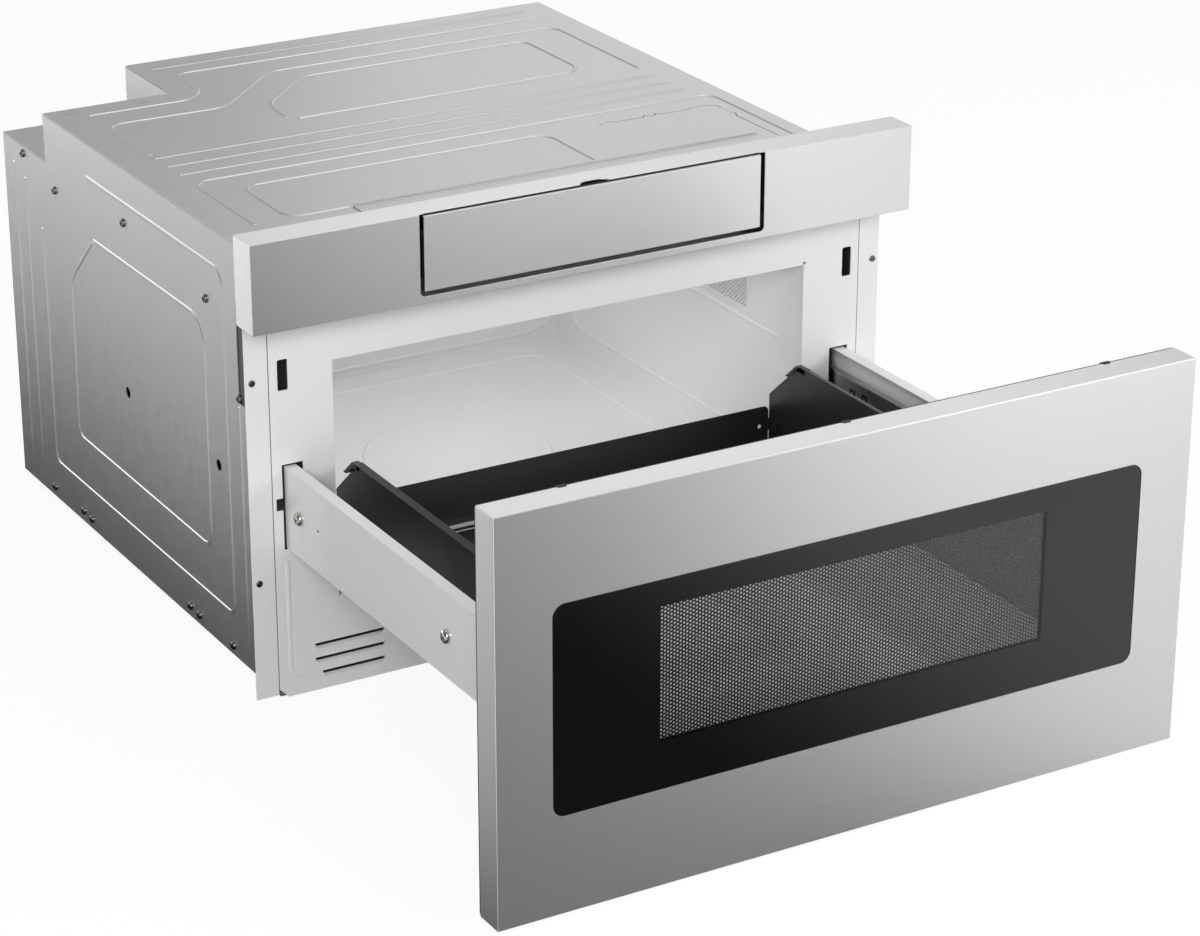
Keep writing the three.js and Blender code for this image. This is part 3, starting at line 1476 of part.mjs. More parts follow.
/** Screen pan behind the glass, on the carrier that holds the glass in the frame. */
function doorScreen() {
  const front = doorFace + glassInset + glassThickness + seatGap;
  const rear = coverFront - seatGap;
  const half = windowHalf + windowSeat;
  const carrier = rounded(-half, half, windowBottom - windowSeat, windowTop + windowSeat, windowRadius);
  carrier.holes.push(screenOutline(screenSheet));
  const walls = screenOutline(0);
  walls.holes.push(screenOutline(screenSheet));
  return join(
    prismY(carrier, front, front + 2 * screenSheet, 3),
    prismY(walls, front, rear, 3),
    prismY(screenOutline(0), front + 0.2, front + 0.2 + screenSheet, 3),
  );
}

/** Black inner panel that closes the back of the drawer front. */
function doorCover() {
  const half = faceHalf - 1;
  const shape = rectangle(-half, half, doorBottom + 1, doorTop - 1);
  shape.holes.push(screenOutline(4));
  return prismY(shape, coverFront, doorBack, 3);
}

/** Black choke frame round the back of the window. It meets the front plate when the drawer is shut. */
function chokeFrame() {
  const half = cavityHalf + chokeSide;
  const innerHalf = cavityHalf - chokeInnerSide;
  const shape = rounded(-half, half, cavityFloor - chokeBelow, cavityTop + chokeAbove, 8);
  shape.holes.push(
    rounded(-innerHalf, innerHalf, cavityFloor + chokeInnerBelow, cavityTop - chokeInnerAbove, 4));
  return prismY(shape, drawerFront, drawerFront + chokeDepth, 3);
}

/** Hook that enters a latch slot. */
function latchHook(sign) {
  const front = drawerFront;
  const low = latchMiddle - hookHeight / 2;
  const high = latchMiddle + hookHeight / 2;
  const tip = front + hookReach;
  const shape = outline([
    [front, low],
    [tip - 8, low],
    [tip, low + 5],
    [tip, high - 3],
    [tip - 3, high],
    [tip - 9, high],
    [tip - 9, high - 5],
    [tip - 13, high - 5],
    [tip - 13, high],
    [front, high],
  ]);
  const half = hookThickness / 2;
  const hook = prismX(shape, sign * (latchCentre - half), sign * (latchCentre + half));
  const footInner = sign * (latchCentre - hookFoot / 2);
  const foot = block(footInner, footInner + sign * hookFoot, front, front + 2, low - 6, high + 6);
  return join(hook, foot);
}

// ---- drawer sides and slides --------------------------------------------------------------

const plateBottom = slideMiddle - plateBelow;
const plateTop = slideMiddle + plateAbove;

/** Side plate of the drawer: a flange on top, and on the left one below as well. */
function sidePlate(sign) {
  const outer = plateOuter;
  const inner = plateOuter - plateFlange;
  const points = [[inner, plateTop], [outer, plateTop], [outer, plateBottom]];
  if (sign < 0) {
    points.push([inner, plateBottom]);
  }
  const run = points.map(([x, z]) => [sign * x, z]);
  const channel = prismY(sheetSection(run, -sign * plateSheet), drawerFront, plateTail);
  const tab = block(sign * inner, sign * outer, drawerFront, drawerFront + tabSheet, plateBottom, plateTop);
  return join(channel, tab);
}

const tabSheet = 1.2;
const innerRailFace = plateOuter - plateSheet - railGap;
const outerRailFace = innerRailFace - slideWidth - railSheet;
const middleRailFace = outerRailFace + railSheet + railGap;
const middleHeight = slideHeight - 2 * (railSheet + ballRoom);
const innerHeight = middleHeight - 2 * (railSheet + ballRoom);
const middleStart = slideStart + 2 - doorTravel / 2;
const innerStart = drawerFront + tabSheet + seatGap;
const innerEnd = innerStart + doorTravel + innerRailSpare;

/** Channel section open to one side: its back at x, its legs reaching towards the open side. */
function channelSection(sign, x, leg, height, open) {
  const low = slideMiddle - height / 2;
  const high = slideMiddle + height / 2;
  const edge = x + open * leg;
  const run = [[edge, low], [x, low], [x, high], [edge, high]].map(([u, v]) => [sign * u, v]);
  return sheetSection(run, -sign * open * railSheet);
}

function outerRail(sign) {
  return prismY(
    channelSection(sign, outerRailFace, railLeg, slideHeight, 1),
    slideStart, slideStart + doorTravel + outerRailSpare);
}

/** Middle slide member with the ball strips that run in its neighbours' tracks. */
function middleRail(sign) {
  const end = middleStart + doorTravel + middleRailSpare;
  const section = channelSection(sign, middleRailFace, railLeg - 0.8, middleHeight, 1);
  const stripInner = sign * (middleRailFace + 2);
  const stripOuter = sign * (middleRailFace + railLeg - 2.5);
  const reach = ballRoom - railGap;
  const strips = [-1, 1].flatMap((up) => {
    const track = slideMiddle + (up * middleHeight) / 2;
    const innerTrack = track - up * railSheet;
    const innerStrip = [innerTrack + up * 0.2, innerTrack - up * reach];
    return [
      block(stripInner, stripOuter, slideStart + 4, end, track - up * 0.2, track + up * reach),
      block(stripInner, stripOuter, middleStart, innerEnd - 4, ...innerStrip),
    ];
  });
  return join(prismY(section, middleStart, end), ...strips);
}

function innerRail(sign) {
  return prismY(channelSection(sign, innerRailFace, railLeg - 0.8, innerHeight, -1), innerStart, innerEnd);
}

/** Hat bracket between the cavity wall and the fixed slide member. */
function slideBracket(sign) {
  const web = outerRailFace - seatGap - bracketSheet;
  const foot = cavityHalf + cavitySheet + seatGap;
  const reach = slideHeight / 2 + bracketMargin;
  const run = [
    [foot, slideMiddle - reach - bracketFoot],
    [foot, slideMiddle - reach],
    [web, slideMiddle - reach],
    [web, slideMiddle + reach],
    [foot, slideMiddle + reach],
    [foot, bracketTop],
  ].map(([x, z]) => [sign * x, z]);
  return prismY(sheetSection(run, -sign * bracketSheet), slideStart, cavityBack - 8);
}

// ---- drive --------------------------------------------------------------------------------

const pitchRadius = (toothModule * pinionTeeth) / 2;
const toothPitch = Math.PI * toothModule;
const rackRoot = plateBottom + rackRise;
const pitchHeight = rackRoot - toothRoot * toothModule;
const pinionAxis = { y: pinionDepth, z: pitchHeight - pitchRadius };
const rackOuter = plateOuter - plateSheet - seatGap;

/** Rack along the right side plate, teeth down. A tooth stands over the pinion's axis. */
function driveRack() {
  const slope = Math.tan(THREE.MathUtils.degToRad(pressureAngle));
  const halfPitchWidth = toothPitch / 4 - backlash / 2;
  const tip = pitchHeight - toothReach * toothModule;
  const tipHalf = halfPitchWidth - toothReach * toothModule * slope;
  const rootHalf = halfPitchWidth + (rackRoot - pitchHeight) * slope;
  const first = Math.ceil((innerStart + 2 - pinionDepth) / toothPitch);
  const last = Math.floor((plateTail - 2 - pinionDepth) / toothPitch);
  const points = [];
  for (let i = first; i <= last; i += 1) {
    const y = pinionDepth + i * toothPitch;
    points.push([y - rootHalf, rackRoot], [y - tipHalf, tip], [y + tipHalf, tip], [y + rootHalf, rackRoot]);
  }
  const start = points[0][0] - 1;
  const end = points[points.length - 1][0] + 1;
  points.push([end, rackRoot], [end, rackRoot + rackBody], [start, rackRoot + rackBody], [start, rackRoot]);
  return prismX(outline(points), rackOuter - rackWidth, rackOuter);
}

/** Pinion with involute teeth and the shaft that comes out of the gearmotor. */
function drivePinion() {
  const baseRadius = pitchRadius * Math.cos(THREE.MathUtils.degToRad(pressureAngle));
  const tipRadius = pitchRadius + toothReach * toothModule;
  const rootRadius = pitchRadius - toothRoot * toothModule;
  const involute = (angle) => Math.tan(angle) - angle;
  const halfTooth = (toothPitch / 2 - backlash / 2) / (2 * pitchRadius);
  const pitchSpread = involute(THREE.MathUtils.degToRad(pressureAngle));
  const flank = [rootRadius, baseRadius + 0.2, pitchRadius, tipRadius].map((radius) => {
    const roll = radius > baseRadius ? Math.acos(baseRadius / radius) : 0;
    return { radius, spread: halfTooth + pitchSpread - involute(roll) };
  });
  const points = [];
  for (let i = 0; i < pinionTeeth; i += 1) {
    const middle = Math.PI / 2 + ((i + 0.5) * 2 * Math.PI) / pinionTeeth;
    const rise = flank.map(({ radius, spread }) => [radius, middle - spread]);
    const fall = flank.map(({ radius, spread }) => [radius, middle + spread]).reverse();
    for (const [radius, angle] of [...rise, ...fall]) {
      points.push([pinionAxis.y + radius * Math.cos(angle), pinionAxis.z + radius * Math.sin(angle)]);
    }
  }
  const gearOuter = rackOuter - (rackWidth - pinionWidth) / 2;
  const gear = prismX(outline(points), gearOuter - pinionWidth, gearOuter);
  const rod = circle(pinionAxis.y, pinionAxis.z, shaftRadius);
  return join(gear, prismX(rod, motorFace - shaftGrip, gearOuter - 1, 4));
}

const motorFace = slotInner - bracketSheet - 2 * seatGap - 2.2;
const motorBottom = pinionAxis.z - motorBelow;
const motorTop = pinionAxis.z + motorAbove;
const motorEnd = pinionAxis.y + motorRear;

/** Gearbox with its motor behind it, and a bore for the pinion's shaft. */
function driveMotor() {
  const inner = motorFace - motorThickness;
  const box = prismX(
    rounded(pinionAxis.y - motorFront, motorEnd, motorBottom, motorTop, 5), inner, motorFace, 2);
  const stub = 3;
  const canEnd = motorEnd + motorCanLength;
  const can = turnedY([
    [0, motorEnd - 1],
    [motorCanRadius, motorEnd - 1],
    [motorCanRadius, canEnd],
    [stub, canEnd],
    [stub, canEnd + 2],
    [0, canEnd + 2],
  ], (inner + motorFace) / 2, motorBottom + motorCanRadius + 5, 16);
  const bore = prismX(
    circle(pinionAxis.y, pinionAxis.z, shaftRadius + runningGap),
    motorFace - shaftGrip - runningGap, motorFace + 1, 4);
  return cut(join(box, can), bore);
}

/** Angle behind the front plate that holds the gearmotor. */
function motorBracket() {
  const face = motorFace + seatGap;
  const front = panelFront + cavitySheet + seatGap;
  const angle = prismZ(sheetSection([
    [face - 18, front],
    [face + bracketSheet, front],
    [face + bracketSheet, motorEnd + 6],
  ], bracketSheet), motorBottom - 14, motorTop + 2);
  return cut(
    angle,
    prismX(circle(pinionAxis.y, pinionAxis.z, shaftRadius + 1), face - 1, face + bracketSheet + 1, 4),
  );
}

// ---- tray ---------------------------------------------------------------------------------

const guardFace = cavityHalf - guardGap;
const guardBottom = cavityFloor + guardLift;
const guardTop = guardBottom + guardHeight;
const crown = guardRear - guardCrown;

/** Side guard: a sheet with a flange under the tray, a hem on top and a sloping rear corner. */
function guard(sign) {
  const front = drawerFront;
  const shape = outline([
    [front, guardBottom],
    [guardRear, guardBottom],
    [guardRear, guardBottom + guardShoulder],
    [crown + 4, guardTop - 2],
    [crown, guardTop],
    [front, guardTop],
  ]);
  const wall = prismX(shape, sign * guardFace, sign * (guardFace - guardSheet));
  const flange = block(sign * guardFace, sign * (guardFace - guardFlange), front, guardRear, guardBottom,
    guardBottom + guardSheet);
  const hemRun = [
    [guardFace - guardSheet, guardTop],
    [guardFace + hemWidth, guardTop - 1.5],
    [guardFace + hemWidth, guardTop - hemDrop],
  ].map(([x, z]) => [sign * x, z]);
  const hem = prismY(sheetSection(hemRun, -sign * guardSheet), front + 14, crown);
  return join(wall, flange, hem);
}

/** Rail behind the tray, with a flange under it and a tab inside each guard. */
function rearRail() {
  const low = guardBottom;
  const front = guardRear + seatGap;
  const rear = front + guardSheet;
  const half = guardFace - guardSheet - seatGap;
  const tabBottom = low + railTabRise;
  const tabTop = tabBottom + railTabHeight;
  const shape = rounded(-half, half, low, low + railHeight, 5);
  shape.holes = sides.map(({ sign }) => circle(
    sign * (guardFace - 10), (tabBottom + tabTop) / 2 - 1.3, railHole));
  const shelf = guardFace - guardFlange - seatGap;
  const flange = block(-shelf, shelf, front - rearRailFlange, rear, low, low + guardSheet);
  const tabs = sides.map(({ sign }) => block(
    sign * half, sign * (half - guardSheet), front - 14, rear, tabBottom, tabTop));
  return join(prismY(shape, front, rear, 2), flange, ...tabs);
}

function glassTray() {
  const half = guardFace - guardSheet - 2 * seatGap;
  const low = guardBottom + guardSheet + seatGap;
  return block(-half, half, drawerFront + seatGap, guardRear, low, low + trayThickness);
}

// ---- put together -------------------------------------------------------------------------

addPiece('base_plate', basePlate(), galvanised);
addPiece('top_panel', topPanel(), galvanised);
addPiece('back_panel', backPanel(), galvanised);
addPiece('corner_pocket', cornerPocket(), galvanised);
addPiece('front_frame', frontFrame(), whiteEnamel);
addPiece('cavity', cavity(), whiteEnamel);
addPiece('antenna_cover', antennaCover(), whitePlastic);
addPiece('stirrer_antenna', stirrerAntenna(), aluminium);
addPiece('antenna_motor', antennaMotor(), darkSteel);
addPiece('waveguide', waveguide(), zincSteel);
addPiece('lamp_grille', lampGrille(), whiteEnamel);
addPiece('cavity_lamp', cavityLamp(), whitePlastic);
addPiece('magnetron', magnetron(), aluminium);
addPiece('transformer', transformer(), varnishedIron);
addPiece('capacitor', capacitor(), aluminium);
addPiece('fan_housing', fanHousing(), zincSteel);
addPiece('fan_motor', fanMotor(), darkSteel);
addPiece('fan_rotor', fanRotor(), blackPlastic);
addPiece('cord_gland', cordGland(), blackPlastic);
addPiece('control_fascia', fascia(), stainless);
addPiece('control_flap', controlFlap(), stainless);
addPiece('flap_carrier', flapCarrier(), blackPlastic);
addPiece('touch_panel', touchPanel(), blackGlass);
addPiece('control_housing', controlHousing(), blackPlastic);
addPiece('control_board', controlBoard(), boardGreen);
addPiece('fascia_support', fasciaSupport(), galvanised);
addPiece('door_frame', doorFrame(), stainless);
addPiece('door_glass', doorGlass(), blackGlass);
addPiece('door_screen', doorScreen(), blackSheet);
addPiece('door_cover', doorCover(), blackSheet);
addPiece('choke_frame', chokeFrame(), blackPlastic);
addPiece('drive_rack', driveRack(), whitePlastic);
addPiece('drive_pinion', drivePinion(), whitePlastic);
addPiece('drive_motor', driveMotor(), darkSteel);
addPiece('motor_bracket', motorBracket(), zincSteel);
addPiece('rear_rail', rearRail(), blackSheet);
addPiece('glass_tray', glassTray(), opalGlass);
for (const { label, sign } of sides) {
  addPiece(`${label}_side_panel`, sidePanel(sign), galvanised);
  addPiece(`${label}_mounting_flange`, mountingFlange(sign), whiteEnamel);
  addPiece(`${label}_latch_bracket`, latchBracket(sign), darkSteel);
  addPiece(`${label}_interlock_switch`, interlockSwitch(sign), blackPlastic);
  addPiece(`${label}_latch_hook`, latchHook(sign), blackPlastic);
  addPiece(`${label}_side_plate`, sidePlate(sign), whiteEnamel);
  addPiece(`${label}_slide_bracket`, slideBracket(sign), zincSteel);
  addPiece(`${label}_outer_rail`, outerRail(sign), zincSteel);
  addPiece(`${label}_middle_rail`, middleRail(sign), zincSteel);
  addPiece(`${label}_inner_rail`, innerRail(sign), zincSteel);
  addPiece(`${label}_guard`, guard(sign), blackSheet);
}

export default oven;
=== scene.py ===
# Looks of a built-in microwave drawer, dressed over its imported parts
import json
import math
import bpy
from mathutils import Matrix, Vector


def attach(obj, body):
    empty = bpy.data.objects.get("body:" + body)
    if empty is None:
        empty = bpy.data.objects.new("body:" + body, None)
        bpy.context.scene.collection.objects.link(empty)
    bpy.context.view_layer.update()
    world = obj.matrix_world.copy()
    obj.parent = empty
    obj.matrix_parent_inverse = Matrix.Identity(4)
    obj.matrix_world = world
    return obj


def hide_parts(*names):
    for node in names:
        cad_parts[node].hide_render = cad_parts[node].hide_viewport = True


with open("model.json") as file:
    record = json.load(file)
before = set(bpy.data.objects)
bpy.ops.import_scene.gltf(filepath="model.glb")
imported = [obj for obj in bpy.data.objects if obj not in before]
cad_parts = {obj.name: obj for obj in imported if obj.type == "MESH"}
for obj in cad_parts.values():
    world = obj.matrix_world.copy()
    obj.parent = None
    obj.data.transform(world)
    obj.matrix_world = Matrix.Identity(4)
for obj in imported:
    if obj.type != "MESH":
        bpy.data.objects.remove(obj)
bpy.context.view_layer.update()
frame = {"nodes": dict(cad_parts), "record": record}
nodes = frame["nodes"]


# ---- small tools

sides = (("left", -1), ("right", 1))  # the sign of X on each side
past = 2  # a cutter reaches this far beyond what it cuts, mm


def mm(*values):
    return tuple(value / 1000 for value in values)


def linear(hexColour):
    # sRGB hex to the linear colour that shaders use
    parts = [int(hexColour[i:i + 2], 16) / 255 for i in (1, 3, 5)]
    return tuple(p / 12.92 if p <= 0.04045 else ((p + 0.055) / 1.055) ** 2.4 for p in parts) + (1.0,)


def solo(piece):
    bpy.ops.object.select_all(action="DESELECT")
    piece.select_set(True)
    bpy.context.view_layer.objects.active = piece


def bake(piece):
    # its place, turn and size go into its mesh
    solo(piece)
    bpy.ops.object.transform_apply(location=True, rotation=True, scale=True)


def settle(name):
    # the new primitive gets its name and stands at the origin
    piece = bpy.context.object
    piece.name = name
    bake(piece)
    return piece


def addBox(name, low, high):
    bpy.ops.object.select_all(action="DESELECT")
    centre = [(a + b) / 2000 for a, b in zip(low, high)]
    size = [(b - a) / 1000 for a, b in zip(low, high)]
    bpy.ops.mesh.primitive_cube_add(size=1, location=centre, scale=size)
    return settle(name)


def addSideBox(name, sign, across, depth, up):
    # box on the left (-1) or the right (1), its width given outwards from the middle
    left, right = sorted(sign * x for x in across)
    return addBox(name, (left, depth[0], up[0]), (right, depth[1], up[1]))


def edit(piece, kind, chosen):
    # into edit mode with the faces, edges or vertices that chosen() takes
    solo(piece)
    bpy.ops.object.mode_set(mode="EDIT")
    bpy.ops.mesh.select_mode(type=kind)
    bpy.ops.mesh.select_all(action="DESELECT")
    bpy.ops.object.mode_set(mode="OBJECT")
    mesh = piece.data
    if kind == "FACE":
        for face in mesh.polygons:
            face.select = chosen(face.center * 1000, face.normal)
    elif kind == "EDGE":
        for edge in mesh.edges:
            a, b = (mesh.vertices[i].co * 1000 for i in edge.vertices)
            edge.select = chosen(a, b)
    else:
        for vertex in mesh.vertices:
            vertex.select = chosen(vertex.co * 1000)
    bpy.ops.object.mode_set(mode="EDIT")


def leave():
    bpy.ops.object.mode_set(mode="OBJECT")


def apply(piece, kind, **settings):
    solo(piece)
    modifier = piece.modifiers.new(kind, kind)
    for name, value in settings.items():
        setattr(modifier, name, value)
    bpy.ops.object.modifier_apply(modifier=modifier.name)
    return piece


def cutOut(piece, cutter):
    apply(piece, "BOOLEAN", object=cutter, operation="DIFFERENCE", solver="EXACT")
    bpy.data.objects.remove(cutter)


def smooth(piece, degrees=35):
    # rounded edges shade round, and the flat faces beside them stay flat
    solo(piece)
    bpy.ops.object.shade_smooth_by_angle(angle=math.radians(degrees))
    apply(piece, "WEIGHTED_NORMAL", keep_sharp=True, weight=100)


def easeEdges(piece, width, segments=2, over=40):
    # rounds the edges that turn by more than an angle in degrees
    apply(piece, "BEVEL", width=width / 1000, segments=segments, limit_method="ANGLE",
          angle_limit=math.radians(over))
    smooth(piece)


def near(a, b, room=0.05):
    return abs(a - b) < room


def roundCorners(piece, axis, radius, segments):
    # rounds the edges that run along one axis
    def along(a, b):
        return all(near(a[i], b[i]) for i in range(3) if i != axis)
    edit(piece, "EDGE", along)
    bpy.ops.mesh.bevel(offset=radius / 1000, segments=segments, affect="EDGES")
    leave()


def copyOf(piece, name):
    twin = piece.copy()
    twin.data = piece.data.copy()
    twin.name = name
    bpy.context.scene.collection.objects.link(twin)
    bake(twin)
    return twin


def outlinedPlate(name, points, x, sheet):
    # plate across X whose outline is given in depth and height; it starts as a small disc
    bpy.ops.object.select_all(action="DESELECT")
    bpy.ops.mesh.primitive_circle_add(vertices=len(points), radius=0.01, fill_type="NGON",
                                      rotation=(0, math.radians(90), 0))
    plate = settle(name)
    starts = [vertex.co.copy() * 1000 for vertex in plate.data.vertices]
    for start, (y, z) in zip(starts, points):
        edit(plate, "VERT", lambda co: (co - start).length < 0.01)
        bpy.ops.transform.translate(value=mm(x - start.x, y - start.y, z - start.z))
        leave()
    apply(plate, "SOLIDIFY", thickness=sheet / 1000, offset=0)
    solo(plate)
    bpy.ops.object.mode_set(mode="EDIT")
    bpy.ops.mesh.select_all(action="SELECT")
    bpy.ops.mesh.normals_make_consistent(inside=False)
    leave()
    return plate


def softened(node, width, segments, name):
    # a copy of a CAD sheet piece with its edges rounded, shown in its place
    piece = copyOf(nodes[node], name)
    piece.parent = None
    edit(piece, "VERT", lambda co: True)
    bpy.ops.mesh.remove_doubles(threshold=0.00001)
    bpy.ops.mesh.dissolve_limited(angle_limit=math.radians(0.5))
    leave()
    if width:
        easeEdges(piece, width, segments, over=50)
    else:
        smooth(piece)
    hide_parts(node)
    return piece


def finish(piece, material, body):
    piece.data.materials.clear()
    piece.data.materials.append(material)
    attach(piece, body)


# ---- finishes

def addNode(tree, kind, settings=None, inputs=None):
    made = tree.nodes.new("ShaderNode" + kind)
    for name, value in (settings or {}).items():
        setattr(made, name, value)
    for name, value in (inputs or {}).items():
        if isinstance(value, bpy.types.NodeSocket):
            tree.links.new(value, made.inputs[name])
        else:
            made.inputs[name].default_value = value
    return made


def newMaterial(name, shader):
    # an empty material with its surface shader's own fixed values
    material = bpy.data.materials.new(name)
    material.use_nodes = True
    tree = material.node_tree
    tree.nodes.clear()
    surface = addNode(tree, "BsdfPrincipled", inputs=shader)
    addNode(tree, "OutputMaterial", inputs={"Surface": surface.outputs["BSDF"]})
    return material, tree, surface


noiseSpan = (0.3, 0.7)  # the levels that most of the noise lies between


def patterned(tree, surface, low, high, scale, rough, bump, stretch=(1, 1, 1), detail=3):
    # two tones mixed by noise, and the same noise in the roughness and the relief
    place = addNode(tree, "TexCoord").outputs["Object"]
    stretched = addNode(tree, "Mapping", {}, {"Vector": place, "Scale": stretch}).outputs["Vector"]
    noise = addNode(tree, "TexNoise", {}, {"Vector": stretched, "Scale": scale, "Detail": detail})
    tone = addNode(tree, "Mix", {"data_type": "RGBA"}, {
        0: noise.outputs[0], 6: linear(low), 7: linear(high)})
    sheen = addNode(tree, "MapRange", {}, {
        0: noise.outputs[0], 1: noiseSpan[0], 2: noiseSpan[1], 3: rough[0], 4: rough[1]})
    relief = addNode(tree, "Bump", {}, {
        "Height": noise.outputs[0], "Strength": bump[0], "Distance": bump[1]})
    tree.links.new(tone.outputs[2], surface.inputs["Base Color"])
    tree.links.new(sheen.outputs[0], surface.inputs["Roughness"])
    tree.links.new(relief.outputs["Normal"], surface.inputs["Normal"])


def makeGalvanised():
    # hot-dip galvanised sheet under a thin grey coat: satin, soft cloudy tone, faint rolled grain
    material, tree, surface = newMaterial("galvanisedSheet", {"Metallic": 0.8})
    patterned(tree, surface, "#c6c6c7", "#cfcfd0", 90, (0.35, 0.41), (0.012, 0.0002), stretch=(1, 2.5, 1))
    return material


def makeEnamel():
    # fired white enamel: glossy, near white, slight orange peel 2 mm across
    material, tree, surface = newMaterial("whiteEnamel", {"Coat Weight": 0.35, "Coat Roughness": 0.12})
    patterned(tree, surface, "#e9e8e8", "#efeeee", 450, (0.32, 0.38), (0.03, 0.0003))
    return material


def makeStainless():
    # stainless steel brushed from side to side: fine streaks, reflections drawn out upright
    material, tree, surface = newMaterial("brushedStainless", {"Metallic": 1.0, "Anisotropic": 0.75})
    patterned(tree, surface, "#dcdcdd", "#e3e3e3", 60, (0.46, 0.52), (0.05, 0.00008),
              stretch=(1, 40, 40), detail=6)
    upright = addNode(tree, "CombineXYZ", {}, {"Y": -0.3, "Z": 1.0}).outputs[0]  # leans back a little
    tree.links.new(upright, surface.inputs["Tangent"])
    return material


def makeBlackEnamel():
    # satin black enamel on the drawer's guards: dark grey sheen, fine texture
    material, tree, surface = newMaterial("satinBlackEnamel", {"Coat Weight": 0.15, "Coat Roughness": 0.4})
    patterned(tree, surface, "#19191c", "#212124", 900, (0.38, 0.46), (0.06, 0.0002))
    return material


def makeBlackGlass():
    # glass with black ceramic printed behind it: deep black, mirror gloss
    material, tree, surface = newMaterial("blackPrintedGlass", {"Coat Weight": 0.5, "Coat Roughness": 0.02})
    patterned(tree, surface, "#09090b", "#0d0d0f", 40, (0.05, 0.08), (0.004, 0.0002))
    return material


def makeSmokedGlass():
    # clear glass with a slight grey tint over the perforated screen
    material, tree, surface = newMaterial("smokedGlass", {"Transmission Weight": 1.0, "IOR": 1.5})
    patterned(tree, surface, "#ebecee", "#f0f1f2", 30, (0.0, 0.01), (0.002, 0.0002))
    return material


def makeMouldedBlack():
    # ABS moulded with a fine grain
    material, tree, surface = newMaterial("mouldedBlackAbs", {})
    patterned(tree, surface, "#0c0c0d", "#131314", 1600, (0.5, 0.6), (0.12, 0.0002))
    return material


def makeZinc():
    # bright zinc plating: bluish silver, slightly cloudy
    material, tree, surface = newMaterial("brightZincPlate", {"Metallic": 1.0})
    patterned(tree, surface, "#a7aaae", "#bcbec0", 160, (0.26, 0.36), (0.03, 0.0001), stretch=(1, 0.2, 1))
    return material


def makeDarkSteel():
    # grey phosphated steel: dull and dark
    material, tree, surface = newMaterial("phosphatedSteel", {"Metallic": 0.7})
    patterned(tree, surface, "#58595b", "#656668", 220, (0.45, 0.55), (0.05, 0.0001))
    return material


def makeWhitePlastic():
    # acetal moulded parts: milky, waxy white
    material, tree, surface = newMaterial("mouldedAcetal", {})
    patterned(tree, surface, "#e5e4e3", "#ebeae9", 300, (0.35, 0.42), (0.03, 0.0001))
    return material


def makeCircuitBoard():
    # glass-fibre board with green solder mask
    material, tree, surface = newMaterial("greenCircuitBoard", {})
    patterned(tree, surface, "#0f4423", "#1a5a30", 500, (0.3, 0.4), (0.1, 0.0001))
    return material


def makeVarnishedIron():
    # transformer laminations and windings under brown varnish
    material, tree, surface = newMaterial("varnishedLaminations", {"Coat Weight": 0.4})
    patterned(tree, surface, "#3a2a1f", "#54402f", 700, (0.35, 0.5), (0.15, 0.0002), stretch=(1, 8, 1))
    return material


def makeAluminium():
    # plain aluminium sheet, mill finish
    material, tree, surface = newMaterial("millAluminium", {"Metallic": 1.0})
    patterned(tree, surface, "#c4c5c6", "#d0d1d2", 120, (0.3, 0.42), (0.03, 0.0001), stretch=(1, 6, 1))
    return material


def makeScreenEnamel():
    # black enamelled perforated sheet
    material, tree, surface = newMaterial("perforatedBlackEnamel", {})
    patterned(tree, surface, "#08080a", "#0e0e10", 600, (0.4, 0.5), (0.03, 0.0001))
    return material


def makeNickel():
    # nickel-plated screws: bright, a little warm
    material, tree, surface = newMaterial("nickelPlatedSteel", {"Metallic": 1.0})
    patterned(tree, surface, "#c6c4c0", "#d4d2ce", 900, (0.16, 0.24), (0.03, 0.0001))
    return material


def makeOpalGlass():
    # opal glass-ceramic tray: milky white, polished
    material, tree, surface = newMaterial("opalGlassCeramic", {"Coat Weight": 0.6, "Coat Roughness": 0.03})
    patterned(tree, surface, "#dedfde", "#e6e7e6", 50, (0.12, 0.18), (0.01, 0.0002))
    return material


def makeDarkScrew():
    # zinc-plated screws passivated dark grey
    material, tree, surface = newMaterial("passivatedScrewSteel", {"Metallic": 1.0})
    patterned(tree, surface, "#6f7072", "#828385", 900, (0.25, 0.35), (0.04, 0.0001))
    return material


def makeKeyPrint():
    # pale ceramic ink printed on black glass
    material, tree, surface = newMaterial("paleCeramicInk", {})
    patterned(tree, surface, "#b9bbbd", "#c6c8ca", 1500, (0.45, 0.55), (0.03, 0.0001))
    return material


print("finishes")
finishes = {
    "galvanised_steel": makeGalvanised(),
    "white_enamel": makeEnamel(),
    "stainless_steel": makeStainless(),
    "black_enamel": makeBlackEnamel(),
    "black_glass": makeBlackGlass(),
    "opal_glass": makeOpalGlass(),
    "black_plastic": makeMouldedBlack(),
    "zinc_plated_steel": makeZinc(),
    "dark_steel": makeDarkSteel(),
    "white_plastic": makeWhitePlastic(),
    "circuit_board": makeCircuitBoard(),
    "varnished_iron": makeVarnishedIron(),
    "aluminium": makeAluminium(),
}
smokedGlass = makeSmokedGlass()
screenEnamel = makeScreenEnamel()
nickelPlate = makeNickel()
darkScrew = makeDarkScrew()
keyPrint = makeKeyPrint()

for part in frame["record"]["subparts"]:
    node = nodes[part["node"]]
    node.data.materials.clear()
    node.data.materials.append(finishes[part["material_slot"]])


# ---- drawer front

doorSkin = {
    "low": (-303.25, -691.5, 1.4), "high": (303.25, -665.8, 324.1),
    "edge": 1.1, "sheet": 0.8, "window": (257.3, 80.5, 247.7), "windowCorner": 10, "cutEdge": 0.2,
}


